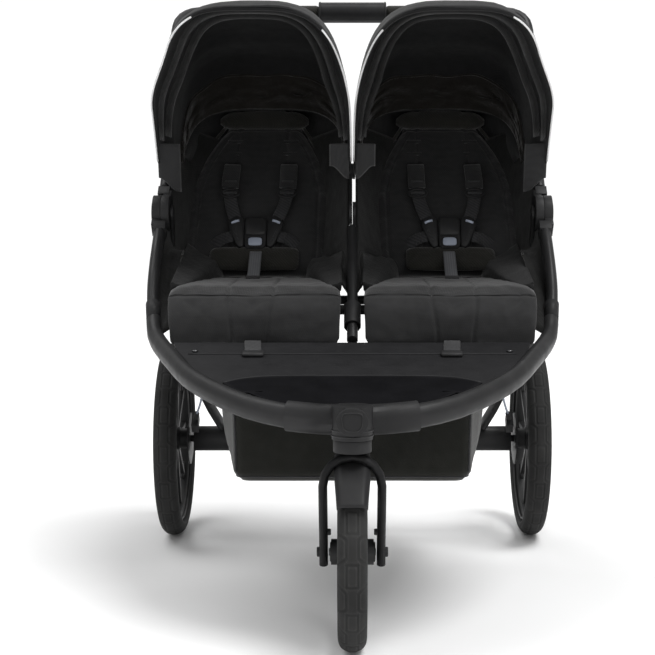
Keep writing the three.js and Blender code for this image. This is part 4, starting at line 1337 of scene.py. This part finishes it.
def footplate_rib():
    line = [on_footplate(-278 + 556 * i / 24, 243, 5.2) for i in range(25)]
    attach(tube("footplate_back_rib", line, 2.4, "footplate_plastic", flat=0.8), "chassis")
    profile = [(0.1, -1), (5.2, -1), (5.6, 0.2), (4.6, 1.8), (2.6, 2.0), (2.0, 0.8), (0.1, 0.8)]
    for name, sign in SIDES:
        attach(revolved(f"footplate_screw_{name}", profile, on_footplate(sign * 268, 256, 6.0), "steel", 32,
                         upright=True), "chassis")


def hub_cover(name, centre, radius, body, sign):
    """A stepped disc on the outside of a hub."""
    profile = [(0.1, -0.6), (radius, -0.6), (radius + 0.8, 0.4), (radius - 0.6, 1.8), (radius - 4, 2.2),
               (radius - 5, 1.5), (radius * 0.45, 1.5), (radius * 0.4, 2.4), (0.1, 2.6)]
    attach(revolved(name, profile, centre, segments=64, flip=sign < 0), body)


def fender():
    """A crowned fender close over the tyre; the fork's arch passes in front of its top."""
    path = [(-128, 249, 23.0), (-125, 253.5, 23.4), (-117, 262.5, 24.2), (-104, 276, 25.6),
            (-85, 290.5, 27.2), (-60, 302.5, 27.6), (-30, 311.5, 27.6), (-2, 314.5, 26.6)]
    rings = []
    for y, z, half in path:
        out = Vector((0, y - FRONT_HUB[0], z - FRONT_HUB[1])).normalized()
        top, bottom = [], []
        for u in (-1 + i / 12 for i in range(25)):
            curl = 1.2 * u * u + 7.0 * max(0.0, abs(u) - 0.62) ** 2 / 0.145
            for line, lift in ((top, 3.0), (bottom, 0.2)):
                line.append(at(half * u, y, z) + out * (lift - curl) * MM)
        rings.append([*top, *reversed(bottom)])
    guard = lofted("fender", rings, "moulded_plastic")
    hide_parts("mudguard")
    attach(guard, "front_fork")


def tube_sleeve(name, sign):
    """An oval sleeve over the joint of the front loop and the side tube."""
    path = [at(sign * 354.2, 380, 482), at(sign * 356.4, 393, 497), at(sign * 357.8, 402, 508)]
    rings = []
    for point, tangent, _ in frames_along(path):
        wide = (X_AXIS - tangent * X_AXIS.dot(tangent)).normalized()
        tall = tangent.cross(wide)
        rings.append([point + (wide * 13.6 * math.cos(a) + tall * 18.8 * math.sin(a)) * MM
                      for a in turns(28)])
    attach(lofted(f"tube_sleeve_{name}", rings, "moulded_plastic"), "chassis")


def fork_details(name, sign):
    """Stud, dropout and nut on one blade of the fork."""
    stud = [(0.1, -3), (4.4, -3), (5.0, -1.5), (5.0, 2.4), (3.8, 3.4), (0.1, 3.4)]
    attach(revolved(f"fork_stud_{name}", stud, at(sign * 36.2, -20, 189), segments=32), "front_fork")
    outline = [(-9, 134), (9, 134), (11, 139), (12, 153), (10, 170), (4, 178), (-4, 178), (-10, 170),
               (-12, 153), (-11, 139)]
    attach(rounded_prism(f"fork_dropout_{name}", outline, 45, 51, lambda u, v, w: at(sign * w, u, v), 1.4),
            "front_fork")
    nut = [(0.1, -2.6), (7.2, -2.6), (8.0, -1.6), (8.0, 1.8), (6.6, 2.8), (0.1, 3.0)]
    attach(revolved(f"axle_nut_{name}", nut, at(sign * 52.6, *FRONT_HUB), segments=6), "front_fork")


def handlebar_details(name, sign):
    """Padded cover and the end ring of the twist grip."""
    cover = [at(sign * x, *HANDLEBAR) for x in (72, 76, 120, 180, 240, 288, 294)]
    radii = [13.4, *[14.3] * 5, 13.4]
    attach(tube(f"handlebar_cover_{name}", cover, radii, "pad_fabric", sides=28), "handlebar")
    ring = [(13.2, -2.4), (20.4, -2.4), (22.0, -0.6), (22.0, 1.4), (20.2, 2.6), (13.2, 2.6)]
    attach(revolved(f"grip_end_{name}", ring, at(sign * 67.5, *HANDLEBAR)), "brake_grip")


def brake_cable(name, sign):
    """The cable from the leg down to the caliper, in its ribbed boot. Its pale colour is partly the bare
    inner wire and partly a painted highlight along the black housing.
    """
    cable = spline([at(sign * 309, 712, 336), at(sign * 303, 708, 312), at(sign * 308, 714, 286),
                    at(sign * 317, 732, 262), at(sign * 321, 742, 251)], 8)
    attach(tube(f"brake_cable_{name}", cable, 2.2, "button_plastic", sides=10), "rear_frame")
    boot = [at(sign * (317 + 4 * s), 731 + 11 * s, 263 - 12 * s) for s in (i / 12 for i in range(13))]
    radii = [4.2 if i % 2 else 5.4 for i in range(13)]
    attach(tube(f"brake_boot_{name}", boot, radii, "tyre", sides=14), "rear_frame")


def steering_details():
    """Two rings on the steering barrel and the outline on the swivel lock knob."""
    for k, z in enumerate((346, 354)):
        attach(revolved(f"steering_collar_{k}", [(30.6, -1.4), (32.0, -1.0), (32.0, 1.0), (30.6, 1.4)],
                         at(0, -60, z), "frame_metal", 64, upright=True), "chassis")
    knob = [at(18 * (1 - 0.16 * (1 - math.sin(t))) * rounded(math.cos(t), 0.6), -103.3,
               371 + 14 * rounded(math.sin(t), 0.6)) for t in turns(40)]
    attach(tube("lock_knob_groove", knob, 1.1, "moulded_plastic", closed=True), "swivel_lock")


toe_area()
footplate_rib()
for side_name, side_sign in SIDES:
    hub_cover(f"fold_hub_cap_{side_name}", at(side_sign * 377, *FOLD), 24, "chassis", side_sign)
    hub_cover(f"handle_hub_cap_{side_name}", at(side_sign * 373, 811, 984), 16, "upper_frame", side_sign)
    tube_sleeve(side_name, side_sign)
    fork_details(side_name, side_sign)
    handlebar_details(side_name, side_sign)
    brake_cable(side_name, side_sign)
steering_details()
fender()
